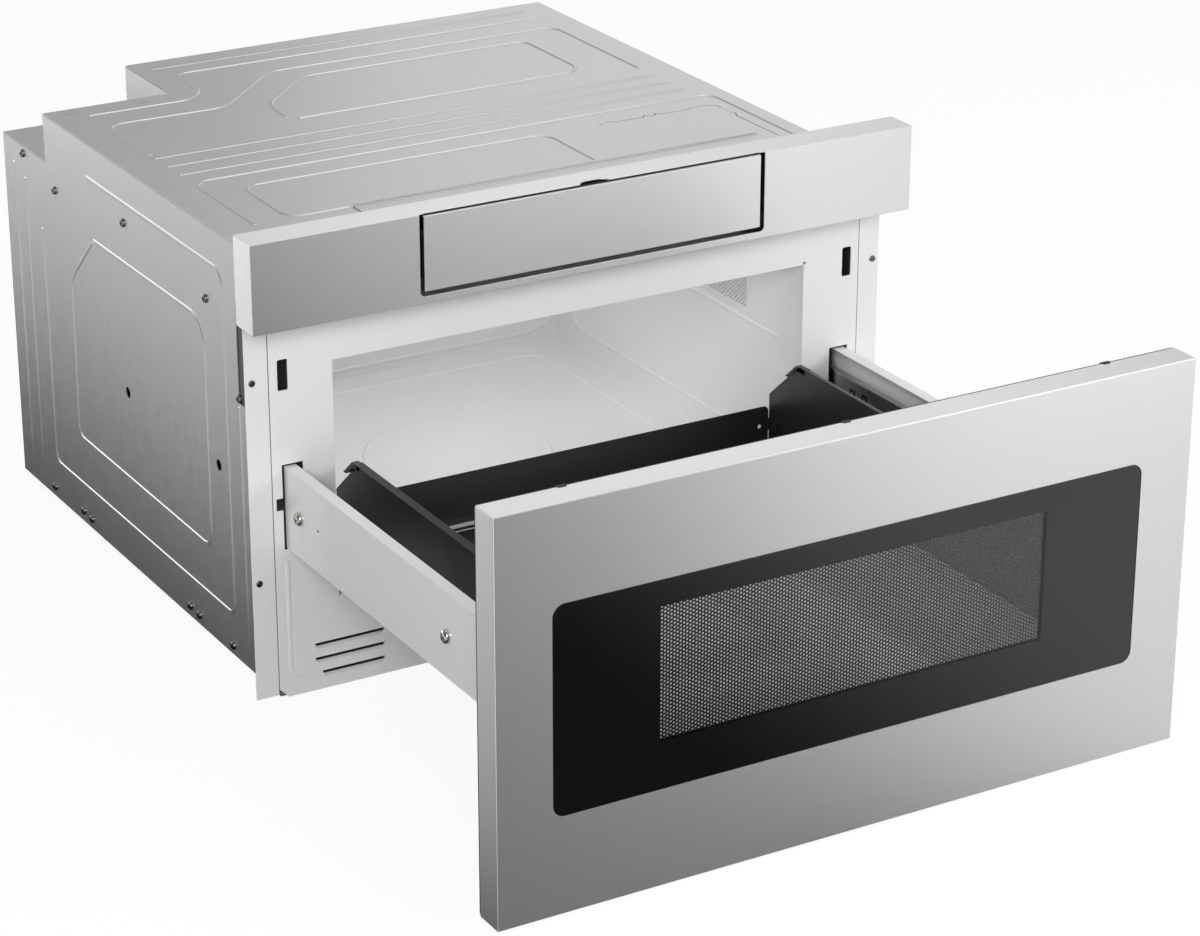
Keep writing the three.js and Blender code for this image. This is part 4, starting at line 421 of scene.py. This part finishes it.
def addDoorSkin(size):
    # folded stainless pan with a rounded window opening
    skin = addBox("doorSkin", size["low"], size["high"])
    front = size["low"][1]
    edit(skin, "EDGE", lambda a, b: near(a.y, front) or near(b.y, front))
    bpy.ops.mesh.bevel(offset=size["edge"] / 1000, segments=3, affect="EDGES")
    leave()
    edit(skin, "FACE", lambda centre, normal: normal.y > 0.9)
    bpy.ops.mesh.delete(type="FACE")
    leave()
    apply(skin, "SOLIDIFY", thickness=size["sheet"] / 1000, offset=-1, use_even_offset=True)
    half, low, high = size["window"]
    cutter = addBox("cutter", (-half, front - past, low), (half, front + past, high))
    roundCorners(cutter, 1, size["windowCorner"], 10)
    cutOut(skin, cutter)
    easeEdges(skin, size["cutEdge"], over=60)
    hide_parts("door_frame")
    finish(skin, finishes["stainless_steel"], "drawer")


windowGlass = {
    "low": (-257.0, -691.2, 80.8), "high": (257.0, -687.2, 247.4), "corner": 9.7, "edge": 0.5,
    "clear": (169.4, 119.8, 226.7), "paneCorner": 0.4,
}


def addWindowGlass(size):
    # one plate: black printed border round a clear tinted pane
    front, back = size["low"][1], size["high"][1]
    half, low, high = size["clear"]
    border = addBox("windowBorder", size["low"], size["high"])
    roundCorners(border, 1, size["corner"], 10)
    edit(border, "EDGE", lambda a, b: near(a.y, front) and near(b.y, front))
    bpy.ops.mesh.bevel(offset=size["edge"] / 1000, segments=3, affect="EDGES")
    leave()
    cutOut(border, addBox("cutter", (-half, front - past, low), (half, back + past, high)))
    smooth(border)
    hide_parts("door_glass")
    finish(border, finishes["black_glass"], "drawer")
    pane = addBox("windowPane", (-half, front, low), (half, back, high))
    roundCorners(pane, 1, size["paneCorner"], 2)
    smooth(pane)
    finish(pane, smokedGlass, "drawer")


screen = {
    "low": 119.8, "front": -686.9, "sheet": 0.4, "hole": 2.1,
    "pitch": (5.28, 3.05), "columns": 64, "rows": 35, "cutFront": 1, "cutBack": 2,
}


def perforate(name, cell, hole, columns, rows, corner):
    # one cell of a staggered pattern, a hole in its middle and a quarter of one at each corner, repeated
    wide, tall = cell
    bpy.ops.object.select_all(action="DESELECT")
    bpy.ops.mesh.primitive_plane_add(size=1)
    sheet = settle(name)
    sheet.scale = (wide / 1000, tall / 1000, 1)
    bake(sheet)
    thick = 1  # only while it is punched
    apply(sheet, "SOLIDIFY", thickness=thick / 1000, offset=0)
    for x, y in ((0, 0), (-1, -1), (-1, 1), (1, -1), (1, 1)):
        bpy.ops.object.select_all(action="DESELECT")
        bpy.ops.mesh.primitive_cylinder_add(vertices=8, radius=hole / 2000, depth=2 * past / 1000,
                                            location=(x * wide / 2000, y * tall / 2000, 0))
        cutOut(sheet, settle("punch"))
    edit(sheet, "FACE", lambda centre, normal: normal.z < 0.9)
    bpy.ops.mesh.delete(type="FACE")
    leave()
    for count, step in ((columns, mm(wide, 0, 0)), (rows, mm(0, tall, 0))):
        apply(sheet, "ARRAY", count=count, use_relative_offset=False, use_constant_offset=True,
              constant_offset_displace=step, use_merge_vertices=True, merge_threshold=0.00001)
    sheet.location = mm(wide / 2 + corner[0], tall / 2 + corner[1], -thick / 2)
    bake(sheet)
    return sheet


def addScreen(size):
    # black enamelled pan behind the glass, with real perforations in its window
    front, low = size["front"], size["low"]
    wide, tall = size["pitch"][0] * size["columns"], size["pitch"][1] * size["rows"]
    pan = softened("door_screen", 0, 0, "screenPan")
    cutOut(pan, addBox("cutter", (-wide / 2, front - size["cutFront"], low),
                       (wide / 2, front + size["cutBack"], low + tall)))
    smooth(pan)
    finish(pan, screenEnamel, "drawer")
    sheet = perforate("perforatedScreen", size["pitch"], size["hole"], size["columns"], size["rows"],
                      (-wide / 2, low))
    sheet.rotation_euler = (math.radians(90), 0, 0)
    sheet.location = mm(0, front, 0)
    bake(sheet)
    apply(sheet, "SOLIDIFY", thickness=size["sheet"] / 1000, offset=-1)
    finish(sheet, screenEnamel, "drawer")


doorHooks = {
    "across": (-235, 2, 237), "width": 9, "front": -668.2, "back": -663.7, "low": 322.9, "high": 324.7,
    "taper": (0.7, 1, 0.6), "edge": 0.4,
}


def addDoorHooks(size):
    # black hooks of the inner cover that lie over the rear edge of the skin
    for number, x in enumerate(size["across"]):
        hook = addBox("doorHook%d" % (number + 1), (x - size["width"] / 2, size["front"], size["low"]),
                      (x + size["width"] / 2, size["back"], size["high"]))
        edit(hook, "FACE", lambda centre, normal: normal.y < -0.9)
        bpy.ops.transform.resize(value=size["taper"])
        leave()
        easeEdges(hook, size["edge"])
        finish(hook, finishes["black_plastic"], "drawer")


doorGasket = {
    "low": (-302.9, -665.8, 1.8), "high": (302.9, -663.7, 323.8), "rim": 7, "corner": 2, "edge": 0.4,
}


def addDoorGasket(size):
    # black gasket round the rear edge of the skin
    low, high, rim = size["low"], size["high"], size["rim"]
    ring = addBox("doorGasket", low, high)
    roundCorners(ring, 1, size["corner"], 4)
    cutOut(ring, addBox("cutter", (low[0] + rim, low[1] - past, low[2] + rim),
                        (high[0] - rim, high[1] + past, high[2] - rim)))
    easeEdges(ring, size["edge"], over=60)
    finish(ring, finishes["black_plastic"], "drawer")


# ---- fascia and control flap

fascia = {"edge": 0.9, "flapEdge": 0.7}


def addFascia(size):
    # stainless skins of the fascia and its flap, with rolled edges
    skin = softened("control_fascia", size["edge"], 3, "fasciaSkin")
    finish(skin, finishes["stainless_steel"], "cabinet")
    flap = softened("control_flap", size["flapEdge"], 3, "flapSkin")
    finish(flap, finishes["stainless_steel"], "flap")


flapGapShade = {"low": (-154.0, -307.35, 402.15), "high": (154.0, -307.05, 403.6), "edge": 0.1}


def addFlapGapShade(size):
    # black strip under the fascia's top, over the flap: painted shade for the dark gap above the flap
    gapShade = addBox("flapGapShade", size["low"], size["high"])
    easeEdges(gapShade, size["edge"], 1)
    finish(gapShade, finishes["black_plastic"], "cabinet")


touchPanel = {
    "edge": 0.4, "face": -300.7, "low": 345.5, "high": 392.5,
    "keyStep": 17, "keySize": 12.5, "keyCorner": 2.5, "firstKey": -66, "proud": 0.25, "sink": 0.4,
    "rim": 0.6, "rimDepth": 0.2, "textSize": 9.1, "inkHeight": 0.1, "inkSink": 0.05,
}


def addKey(name, x, z, size, digit):
    # outlined key with its number, printed on the glass and read from the front when the flap is tilted
    half, front = size["keySize"] / 2, size["face"] + size["proud"]
    key = addBox(name, (x - half, size["face"] - size["sink"], z - half), (x + half, front, z + half))
    roundCorners(key, 1, size["keyCorner"], 4)
    edit(key, "FACE", lambda centre, normal: normal.y > 0.9)
    bpy.ops.mesh.inset(thickness=size["rim"] / 1000, depth=-size["rimDepth"] / 1000)
    leave()
    smooth(key)
    bpy.ops.object.select_all(action="DESELECT")
    bpy.ops.object.text_add(location=(0, 0, 0))
    number = bpy.context.object
    number.data.body = digit
    number.data.size = size["textSize"] / 1000
    number.data.align_x = "CENTER"
    number.data.align_y = "CENTER"
    number.data.extrude = size["inkHeight"] / 1000
    bpy.ops.object.convert(target="MESH")
    number = bpy.context.object
    number.name = name + "Digit"
    number.rotation_euler = (math.radians(-90), 0, 0)
    number.location = mm(x, front - size["inkSink"], z)
    bake(number)
    return key, number


def addTouchPanel(size):
    # glass panel with two rows of number keys
    panel = softened("touch_panel", size["edge"], 3, "touchGlass")
    finish(panel, finishes["black_glass"], "flap")
    middle = (size["low"] + size["high"]) / 2
    for row, digits in enumerate(("12345", "67890")):
        for column, digit in enumerate(digits):
            x = size["firstKey"] + column * size["keyStep"]
            z = middle + (0.5 - row) * -size["keyStep"]
            key, number = addKey("key" + digit, x, z, size, digit)
            finish(key, keyPrint, "flap")
            finish(number, keyPrint, "flap")


# ---- tray and guards

trayLedge = {"half": 205.5, "front": -298, "back": -265.5, "low": 106.95, "high": 107.8, "edge": 0.35,
             "lip": (-262.2, -258.2)}


def addTrayLedge(size):
    # black strips that hold the rear end of the glass tray down
    for name, front, back in (("trayLedge", size["front"], size["back"]), ("trayLip",) + size["lip"]):
        strip = addBox(name, (-size["half"], front, size["low"]), (size["half"], back, size["high"]))
        easeEdges(strip, size["edge"])
        finish(strip, finishes["black_enamel"], "drawer")


guardHook = {
    "outline": ((-303, 201.2), (-288.8, 200.8), (-272.4, 186.4), (-277.8, 186.9), (-290.5, 196.6),
                (-303, 196.6)),
    "face": 209.6, "sheet": 5.8, "edge": 0.2,
}


def addGuardHooks(size):
    # the hem of each guard ends in a bent tab
    for side, sign in sides:
        tab = outlinedPlate(side + "GuardHook", size["outline"], sign * size["face"], size["sheet"])
        easeEdges(tab, size["edge"])
        finish(tab, finishes["black_enamel"], "drawer")


# ---- slides

slotShade = {  # each part of it across and up
    "front": -274.8, "back": -270.4, "edge": 0.2,
    "body": ((248.4, 269.8), (129.4, 206.6)), "notch": ((264, 273.2), (163.5, 178.5)),
    "platePass": ((252.9, 265.1), (132.1, 203.1)), "railPass": ((250.8, 265.1), (149.1, 186.9)),
}


def addSlotShades(size):
    # black moulded pieces behind the front plate, round the slots of the slides: painted shade standing for
    # the dark inside of each slot
    depth, through = (size["front"], size["back"]), (size["front"] - past, size["back"] + past)
    for side, sign in sides:
        across, up = size["body"]
        slotShadePiece = addSideBox(side + "SlotShade", sign, across, depth, up)
        across, up = size["notch"]
        notch = addSideBox("notch", sign, across, depth, up)
        apply(slotShadePiece, "BOOLEAN", object=notch, operation="UNION", solver="EXACT")
        bpy.data.objects.remove(notch)
        for across, up in (size["platePass"], size["railPass"]):
            cutOut(slotShadePiece, addSideBox("cutter", sign, across, through, up))
        easeEdges(slotShadePiece, size["edge"], 1)
        # black plastic here is painted shade for the dark slot, not a real lining
        finish(slotShadePiece, finishes["black_plastic"], "cabinet")


railLips = {  # rolled edges of the middle rails in brighter plate than the rails, a painted highlight along each edge, and retainer slots whose black is painted shade, raised from their faces
    "face": 252.8, "reach": 0.25, "depth": (-458, -31), "edges": (184.2, 151.8), "thick": 1.4, "edge": 0.2,
    "slots": ((-307.5, 173), (-325.5, 174)),
    "slot": (9, 7), "slotReach": 0.15, "slotCorner": 0.8,
    "tab": (3.4, 2.4), "tabReach": 0.25, "tabCorner": 0.5,
}


def addRailMark(name, sign, face, reach, place, extent, corner):
    # small rounded patch on a rail's face
    (y, z), (wide, tall) = place, extent
    mark = addSideBox(name, sign, (face - reach, face), (y - wide / 2, y + wide / 2),
                      (z - tall / 2, z + tall / 2))
    roundCorners(mark, 0, corner, 2)
    smooth(mark)
    return mark


def addRailLips(size):
    face = size["face"]
    for side, sign in sides:
        body = side + "_middle"
        for number, z in enumerate(size["edges"]):
            lip = addSideBox("%sRailLip%d" % (side, number + 1), sign, (face - size["reach"], face),
                             size["depth"], (z - size["thick"] / 2, z + size["thick"] / 2))
            easeEdges(lip, size["edge"])
            # the lip's brighter nickel plate is a painted highlight on the rail's rolled edge
            finish(lip, nickelPlate, body)
        for number, place in enumerate(size["slots"]):
            shadedRecess = addRailMark("%sRailSlot%d" % (side, number + 1), sign, face, size["slotReach"], place,
                                 size["slot"], size["slotCorner"])
            # black patch: painted shade inside the slot
            finish(shadedRecess, finishes["black_plastic"], body)
            tab = addRailMark("%sRailTab%d" % (side, number + 1), sign, face, size["tabReach"], place,
                              size["tab"], size["tabCorner"])
            finish(tab, nickelPlate, body)


flangeGapShade = {"across": (276.1, 276.7), "depth": (-275.4, -262.5), "up": (6, 373.8), "edge": 0.1}
plateSlit = {"across": (264.7, 264.78), "depth": (-334.6, -331.4), "up": (168.25, 169.75), "corner": 0.5}


def addDarkGaps(gapShade, slit):
    # black strips between the front plate and the flanges, and a small black patch for a punched slit in
    # each side plate: both painted shade, for the dark gaps and the dark inside of the slit
    for side, sign in sides:
        strip = addSideBox(side + "FlangeGapShade", sign, gapShade["across"], gapShade["depth"], gapShade["up"])
        easeEdges(strip, gapShade["edge"], 1)
        finish(strip, finishes["black_plastic"], "cabinet")
        mark = addSideBox(side + "PlateSlitShade", sign, slit["across"], slit["depth"], slit["up"])
        roundCorners(mark, 0, slit["corner"], 3)
        smooth(mark)
        finish(mark, finishes["black_plastic"], "drawer")


louvreShadeStrips = {  # the left end and the top of each strip
    "strips": ((-242.5, 43.2), (-242.5, 30.4), (-236.5, 17.6)),
    "right": -181.5, "height": 2.3, "depth": (-275.4, -274.8), "edge": 0.1,
}


def addLouvreShadeStrips(size):
    # black strips under the upper edges of the louvres: painted shade for the dark upper part of each
    # opening
    front, back = size["depth"]
    for number, (left, top) in enumerate(size["strips"]):
        strip = addBox("louvreShadeStrip%d" % (number + 1), (left, front, top - size["height"]),
                       (size["right"], back, top))
        easeEdges(strip, size["edge"], 1)
        finish(strip, finishes["black_plastic"], "cabinet")


# ---- lamp grille

grille = {
    "wall": 222.5, "sheet": 0.6, "low": (-198.8, 208.7), "high": (-86.2, 270.8), "edge": 0.1,
    "hole": 2.3, "pitch": (4.6, 4.0), "columns": 19, "rows": 11, "corner": (-185.5, 217.6),
}


def addLampGrille(size):
    # white sheet with round holes in front of the oven lamp
    wall, low, high, start = size["wall"], size["low"], size["high"], size["corner"]
    holes = perforate("lampGrille", size["pitch"], size["hole"], size["columns"], size["rows"], start)
    holes.rotation_euler = (math.radians(90), 0, math.radians(90))
    holes.location = mm(wall, 0, 0)
    bake(holes)
    apply(holes, "SOLIDIFY", thickness=size["sheet"] / 1000, offset=0)
    smooth(holes)
    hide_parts("lamp_grille")
    finish(holes, finishes["white_enamel"], "cabinet")
    border = addBox("lampGrilleFrame", (wall - size["sheet"] / 2,) + low, (wall + size["sheet"] / 2,) + high)
    end = (start[0] + size["pitch"][0] * size["columns"], start[1] + size["pitch"][1] * size["rows"])
    cutOut(border, addBox("cutter", (wall - past,) + start, (wall + past,) + end))
    easeEdges(border, size["edge"], 1, over=60)
    finish(border, finishes["white_enamel"], "cabinet")


# ---- screws

panScrew = {"head": 7.4, "rise": 2.6, "round": 1.9, "slot": 1.1, "slotLength": 4.2, "slotDepth": 1.3}
bigScrew = {"head": 11.5, "rise": 4.2, "round": 3.2, "slot": 1.5, "slotLength": 6.4, "slotDepth": 2.0}
smallScrew = {"head": 5.6, "rise": 1.3, "round": 0.9, "slot": 0.9, "slotLength": 3.2, "slotDepth": 0.8}


def makeScrew(name, size):
    # domed head with a cross recess, facing up at the origin
    bpy.ops.object.select_all(action="DESELECT")
    bpy.ops.mesh.primitive_cylinder_add(vertices=24, radius=size["head"] / 2000, depth=size["rise"] / 1000,
                                        location=(0, 0, size["rise"] / 2000))
    screw = settle(name)
    top = size["rise"]
    edit(screw, "EDGE", lambda a, b: near(a.z, top) and near(b.z, top))
    bpy.ops.mesh.bevel(offset=size["round"] / 1000, segments=5, affect="EDGES", clamp_overlap=True)
    leave()
    for long, short in ((size["slotLength"], size["slot"]), (size["slot"], size["slotLength"])):
        cutOut(screw, addBox("cutter", (-long / 2, -short / 2, top - size["slotDepth"]),
                             (long / 2, short / 2, top + past / 2)))
    smooth(screw, 40)
    return screw


turns = {"left": (0, -90, 0), "right": (0, 90, 0), "front": (90, 0, 0), "back": (-90, 0, 0)}


def placeScrews(master, name, way, places, material, body):
    # copies of one screw whose heads face left, right, front or back
    for number, place in enumerate(places):
        screw = copyOf(master, "%s%d" % (name, number + 1))
        screw.rotation_euler = [math.radians(t) for t in turns[way]]
        screw.location = mm(*place)
        bake(screw)
        finish(screw, material, body)


sideScrews = {  # depth and height on a side panel
    "places": ((229.2, 322.6), (157.3, 308.7), (6.0, 323.9), (-158.4, 308.9), (199.4, 12.8), (132.0, 14.0),
               (113.7, 12.7), (-99.7, 13.5), (-117.9, 12.3), (-185.4, 11.8)),
    "panel": 274.7,
}
plateScrews = {"places": ((-300.6, 167.3), (-547.3, 167.2)), "panel": 264.7}
bracketScrews = {"places": ((-215, 241.4),), "panel": 273.6}
flangeScrews = {"places": ((290.6, 107.3), (290.6, 278.5)), "panel": -276.0}  # across and height
backScrews = {
    "places": ((-262, 22), (262, 22), (-262, 150), (262, 150), (-262, 300), (262, 300), (262, 355),
               (-100, 355), (80, 355)),
    "panel": 276.0,
}


def addScrews():
    # one screw of each kind is modelled, copied to its places and removed
    pan = makeScrew("panScrew", panScrew)
    big = makeScrew("bigScrew", bigScrew)
    small = makeScrew("smallScrew", smallScrew)
    for side, sign in sides:
        for master, name, size, material, slotName, body in (
                (pan, "PanelScrew", sideScrews, darkScrew, "dark_steel", "cabinet"),
                (big, "PlateScrew", plateScrews, nickelPlate, "zinc_plated_steel", "drawer"),
                (pan, "BracketScrew", bracketScrews, darkScrew, "dark_steel", "cabinet")):
            places = [(sign * size["panel"], y, z) for y, z in size["places"]]
            placeScrews(master, side + name, side, places, material, body)
    for side, sign in sides:
        places = [(sign * x, flangeScrews["panel"], z) for x, z in flangeScrews["places"]]
        placeScrews(small, side + "FlangeScrew", "front", places, darkScrew, "cabinet")
    places = [(x, backScrews["panel"], z) for x, z in backScrews["places"]]
    placeScrews(pan, "backScrew", "back", places, darkScrew, "cabinet")
    for master in (pan, big, small):
        bpy.data.objects.remove(master)


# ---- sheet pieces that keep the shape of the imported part, with rounded edges

softEdges = {
    "front_frame": 0.3, "top_panel": 0, "left_side_panel": 0, "right_side_panel": 0,
    "left_mounting_flange": 0.3, "right_mounting_flange": 0.3, "left_side_plate": 0.25,
    "right_side_plate": 0.25, "left_guard": 0.25, "right_guard": 0.25, "rear_rail": 0.25,
    "glass_tray": 0.8, "door_cover": 0.5, "choke_frame": 0.6, "fascia_support": 0.25,
    "left_inner_rail": 0.3, "right_inner_rail": 0.3, "left_middle_rail": 0.3, "right_middle_rail": 0.3,
    "left_outer_rail": 0.3, "right_outer_rail": 0.3, "left_latch_hook": 0.5, "right_latch_hook": 0.5,
}


def addSoftSheets():
    bodies = frame["record"]["behaviour"]["bodies"]
    homes = {node: body for body, members in bodies.items() for node in members}
    for node, width in softEdges.items():
        words = node.split("_") + ["sheet"]
        piece = softened(node, width, 2, words[0] + "".join(word.title() for word in words[1:]))
        material = nodes[node].data.materials[0]
        finish(piece, material, homes[node])


print("drawer front")
addDoorSkin(doorSkin)
addWindowGlass(windowGlass)
addScreen(screen)
addDoorHooks(doorHooks)
addDoorGasket(doorGasket)
print("fascia and flap")
addFascia(fascia)
addFlapGapShade(flapGapShade)
addTouchPanel(touchPanel)
print("tray, guards and lamp grille")
addTrayLedge(trayLedge)
addGuardHooks(guardHook)
addLampGrille(grille)
print("slides and louvres")
addSlotShades(slotShade)
addRailLips(railLips)
addLouvreShadeStrips(louvreShadeStrips)
addDarkGaps(flangeGapShade, plateSlit)
print("screws")
addScrews()
print("sheet pieces")
addSoftSheets()


# ---- camera, light and floor

view = {
    "place": (-1.37357, -2.67546, 1.30953), "ahead": (0.46358, 0.79666, -0.38785), "roll": 0.055,
    "lens": 108.61, "sensor": 36,
}


def addCamera():
    # stands where the photograph was taken from
    eye = bpy.data.cameras.new("camera")
    eye.lens = view["lens"]
    eye.sensor_width = view["sensor"]
    camera = bpy.data.objects.new("camera", eye)
    bpy.context.scene.collection.objects.link(camera)
    turn = Vector(view["ahead"]).to_track_quat("-Z", "Y").to_matrix().to_4x4()
    camera.matrix_world = turn
    camera.rotation_euler.rotate_axis("Z", math.radians(view["roll"]))
    camera.location = view["place"]
    bpy.context.scene.camera = camera


lighting = {
    # strength of the studio's walls, brighter at the right and the rear
    "around": 0.36, "toRight": 0.24, "toRear": 0.05,
    "lamps": [
        {"name": "rightSoftbox", "place": (1.9, -2.3, 0.9), "aim": (0.1, -0.5, 0.2), "size": (1.7, 1.8),
         "power": 10},
        {"name": "frontFill", "place": (-2.0, -3.0, 1.8), "aim": (0, -0.2, 0.2), "size": (1.4, 1.4),
         "power": 67},
        {"name": "overhead", "place": (0.3, 0.2, 3.0), "aim": (0, 0, 0.3), "size": (2.4, 2.4), "power": 14},
        {"name": "rightFill", "place": (2.1, -2.6, 1.4), "aim": (0.2, -0.3, 0.3), "size": (1.2, 1.2),
         "power": 26, "kinds": ("diffuse",)},
        {"name": "insideGlow", "place": (0, -0.02, 0.2842), "aim": (0, -0.02, 0), "size": (0.42, 0.44),
         "power": 0.32},
        {"name": "topCard", "place": (1.35, 1.7, 1.1), "aim": (0, 0, 0.37), "size": (1.2, 1.4),
         "power": 2.8, "kinds": ("glossy",)},
        {"name": "sideCard", "place": (-1.2, 1.6, 0.45), "aim": (-0.27, 0, 0.3), "size": (2.0, 1.2),
         "power": 15, "kinds": ("glossy",)},
        {"name": "beadGlint", "place": (0.7, 0.1, 2.0), "aim": (0, 0, 0.37), "size": (1.2, 0.6),
         "power": 2.2, "kinds": ("glossy",)},
        {"name": "fasciaCard", "place": (0.42, -1.0, 0.7), "aim": (0.05, -0.31, 0.37), "size": (0.5, 0.4),
         "power": 1.3, "kinds": ("glossy",)},
    ],
}


def addWorld():
    # white to the camera, and a grey room with a brighter right side to the object
    world = bpy.data.worlds.new("studio")
    bpy.context.scene.world = world
    world.use_nodes = True
    tree = world.node_tree
    tree.nodes.clear()
    way = addNode(tree, "TexCoord").outputs["Generated"]
    axes = addNode(tree, "SeparateXYZ", {}, {0: way})
    rightward = addNode(tree, "Math", {"operation": "MULTIPLY_ADD"}, {
        0: axes.outputs["X"], 1: lighting["toRight"], 2: lighting["around"]}).outputs[0]
    strength = addNode(tree, "Math", {"operation": "MULTIPLY_ADD"}, {
        0: axes.outputs["Y"], 1: lighting["toRear"], 2: rightward}).outputs[0]
    room = addNode(tree, "Background", {}, {"Color": (1, 1, 1, 1), "Strength": strength})
    paper = addNode(tree, "Background", {}, {"Color": (1, 1, 1, 1), "Strength": 1.0})
    seen = addNode(tree, "LightPath").outputs["Is Camera Ray"]
    both = addNode(tree, "MixShader", {}, {0: seen, 1: room.outputs[0], 2: paper.outputs[0]})
    addNode(tree, "OutputWorld", {}, {"Surface": both.outputs[0]})


def addLamp(lamp):
    light = bpy.data.lights.new(lamp["name"], "AREA")
    light.shape = "RECTANGLE"
    light.size, light.size_y = lamp["size"]
    light.energy = lamp["power"]
    holder = bpy.data.objects.new(lamp["name"], light)
    bpy.context.scene.collection.objects.link(holder)
    holder.location = lamp["place"]
    toObject = Vector(lamp["aim"]) - Vector(lamp["place"])
    holder.rotation_euler = toObject.to_track_quat("-Z", "Y").to_euler()
    holder.visible_camera = False
    kinds = lamp.get("kinds", ("diffuse", "glossy"))  # a card for gloss alone, or a fill that isn't mirrored
    holder.visible_diffuse = "diffuse" in kinds
    holder.visible_glossy = "glossy" in kinds
    holder.visible_transmission = "glossy" in kinds


paleFloor = {
    "size": 14, "height": -0.0002, "paper": "#e8e8e8",
    "glow": 1.06, "share": 0.85,  # what the camera sees of its own light
    # as gloss sees it, a painted reflection: dark under the left half, pale beyond it
    "darkAt": -0.17, "darkHalf": 0.12, "fade": 0.59, "darkest": 0.04, "palest": 0.8,
}


def addFloor(size):
    # pale paper that keeps the object's shadow
    bpy.ops.object.select_all(action="DESELECT")
    bpy.ops.mesh.primitive_plane_add(size=size["size"], location=(0, 0, size["height"]))
    floor = settle("floor")
    material = bpy.data.materials.new("paleFloor")
    material.use_nodes = True
    tree = material.node_tree
    tree.nodes.clear()
    path = addNode(tree, "LightPath")
    paper = addNode(tree, "BsdfDiffuse", {}, {"Color": linear(size["paper"])})
    glow = addNode(tree, "Emission", {}, {"Color": (1, 1, 1, 1), "Strength": size["glow"]})
    share = addNode(tree, "Math", {"operation": "MULTIPLY"}, {
        0: path.outputs["Is Camera Ray"], 1: size["share"]}).outputs[0]
    seen = addNode(tree, "MixShader", {}, {0: share, 1: paper.outputs[0], 2: glow.outputs[0]})
    x = addNode(tree, "SeparateXYZ", {}, {0: addNode(tree, "TexCoord").outputs["Object"]}).outputs["X"]
    away = addNode(tree, "Math", {"operation": "SUBTRACT"}, {0: x, 1: size["darkAt"]}).outputs[0]
    distance = addNode(tree, "Math", {"operation": "ABSOLUTE"}, {0: away}).outputs[0]
    level = addNode(tree, "MapRange", {"interpolation_type": "SMOOTHSTEP"}, {
        0: distance, 1: size["darkHalf"], 2: size["fade"],
        3: size["darkest"], 4: size["palest"]}).outputs[0]
    gloss = addNode(tree, "Emission", {}, {"Color": (1, 1, 1, 1), "Strength": level})
    both = addNode(tree, "MixShader", {}, {
        0: path.outputs["Is Glossy Ray"], 1: seen.outputs[0], 2: gloss.outputs[0]})
    addNode(tree, "OutputMaterial", {}, {"Surface": both.outputs[0]})
    floor.data.materials.append(material)


print("camera and light")
bpy.context.scene.view_settings.view_transform = "Standard"
addCamera()
addWorld()
for lamp in lighting["lamps"]:
    addLamp(lamp)
addFloor(paleFloor)
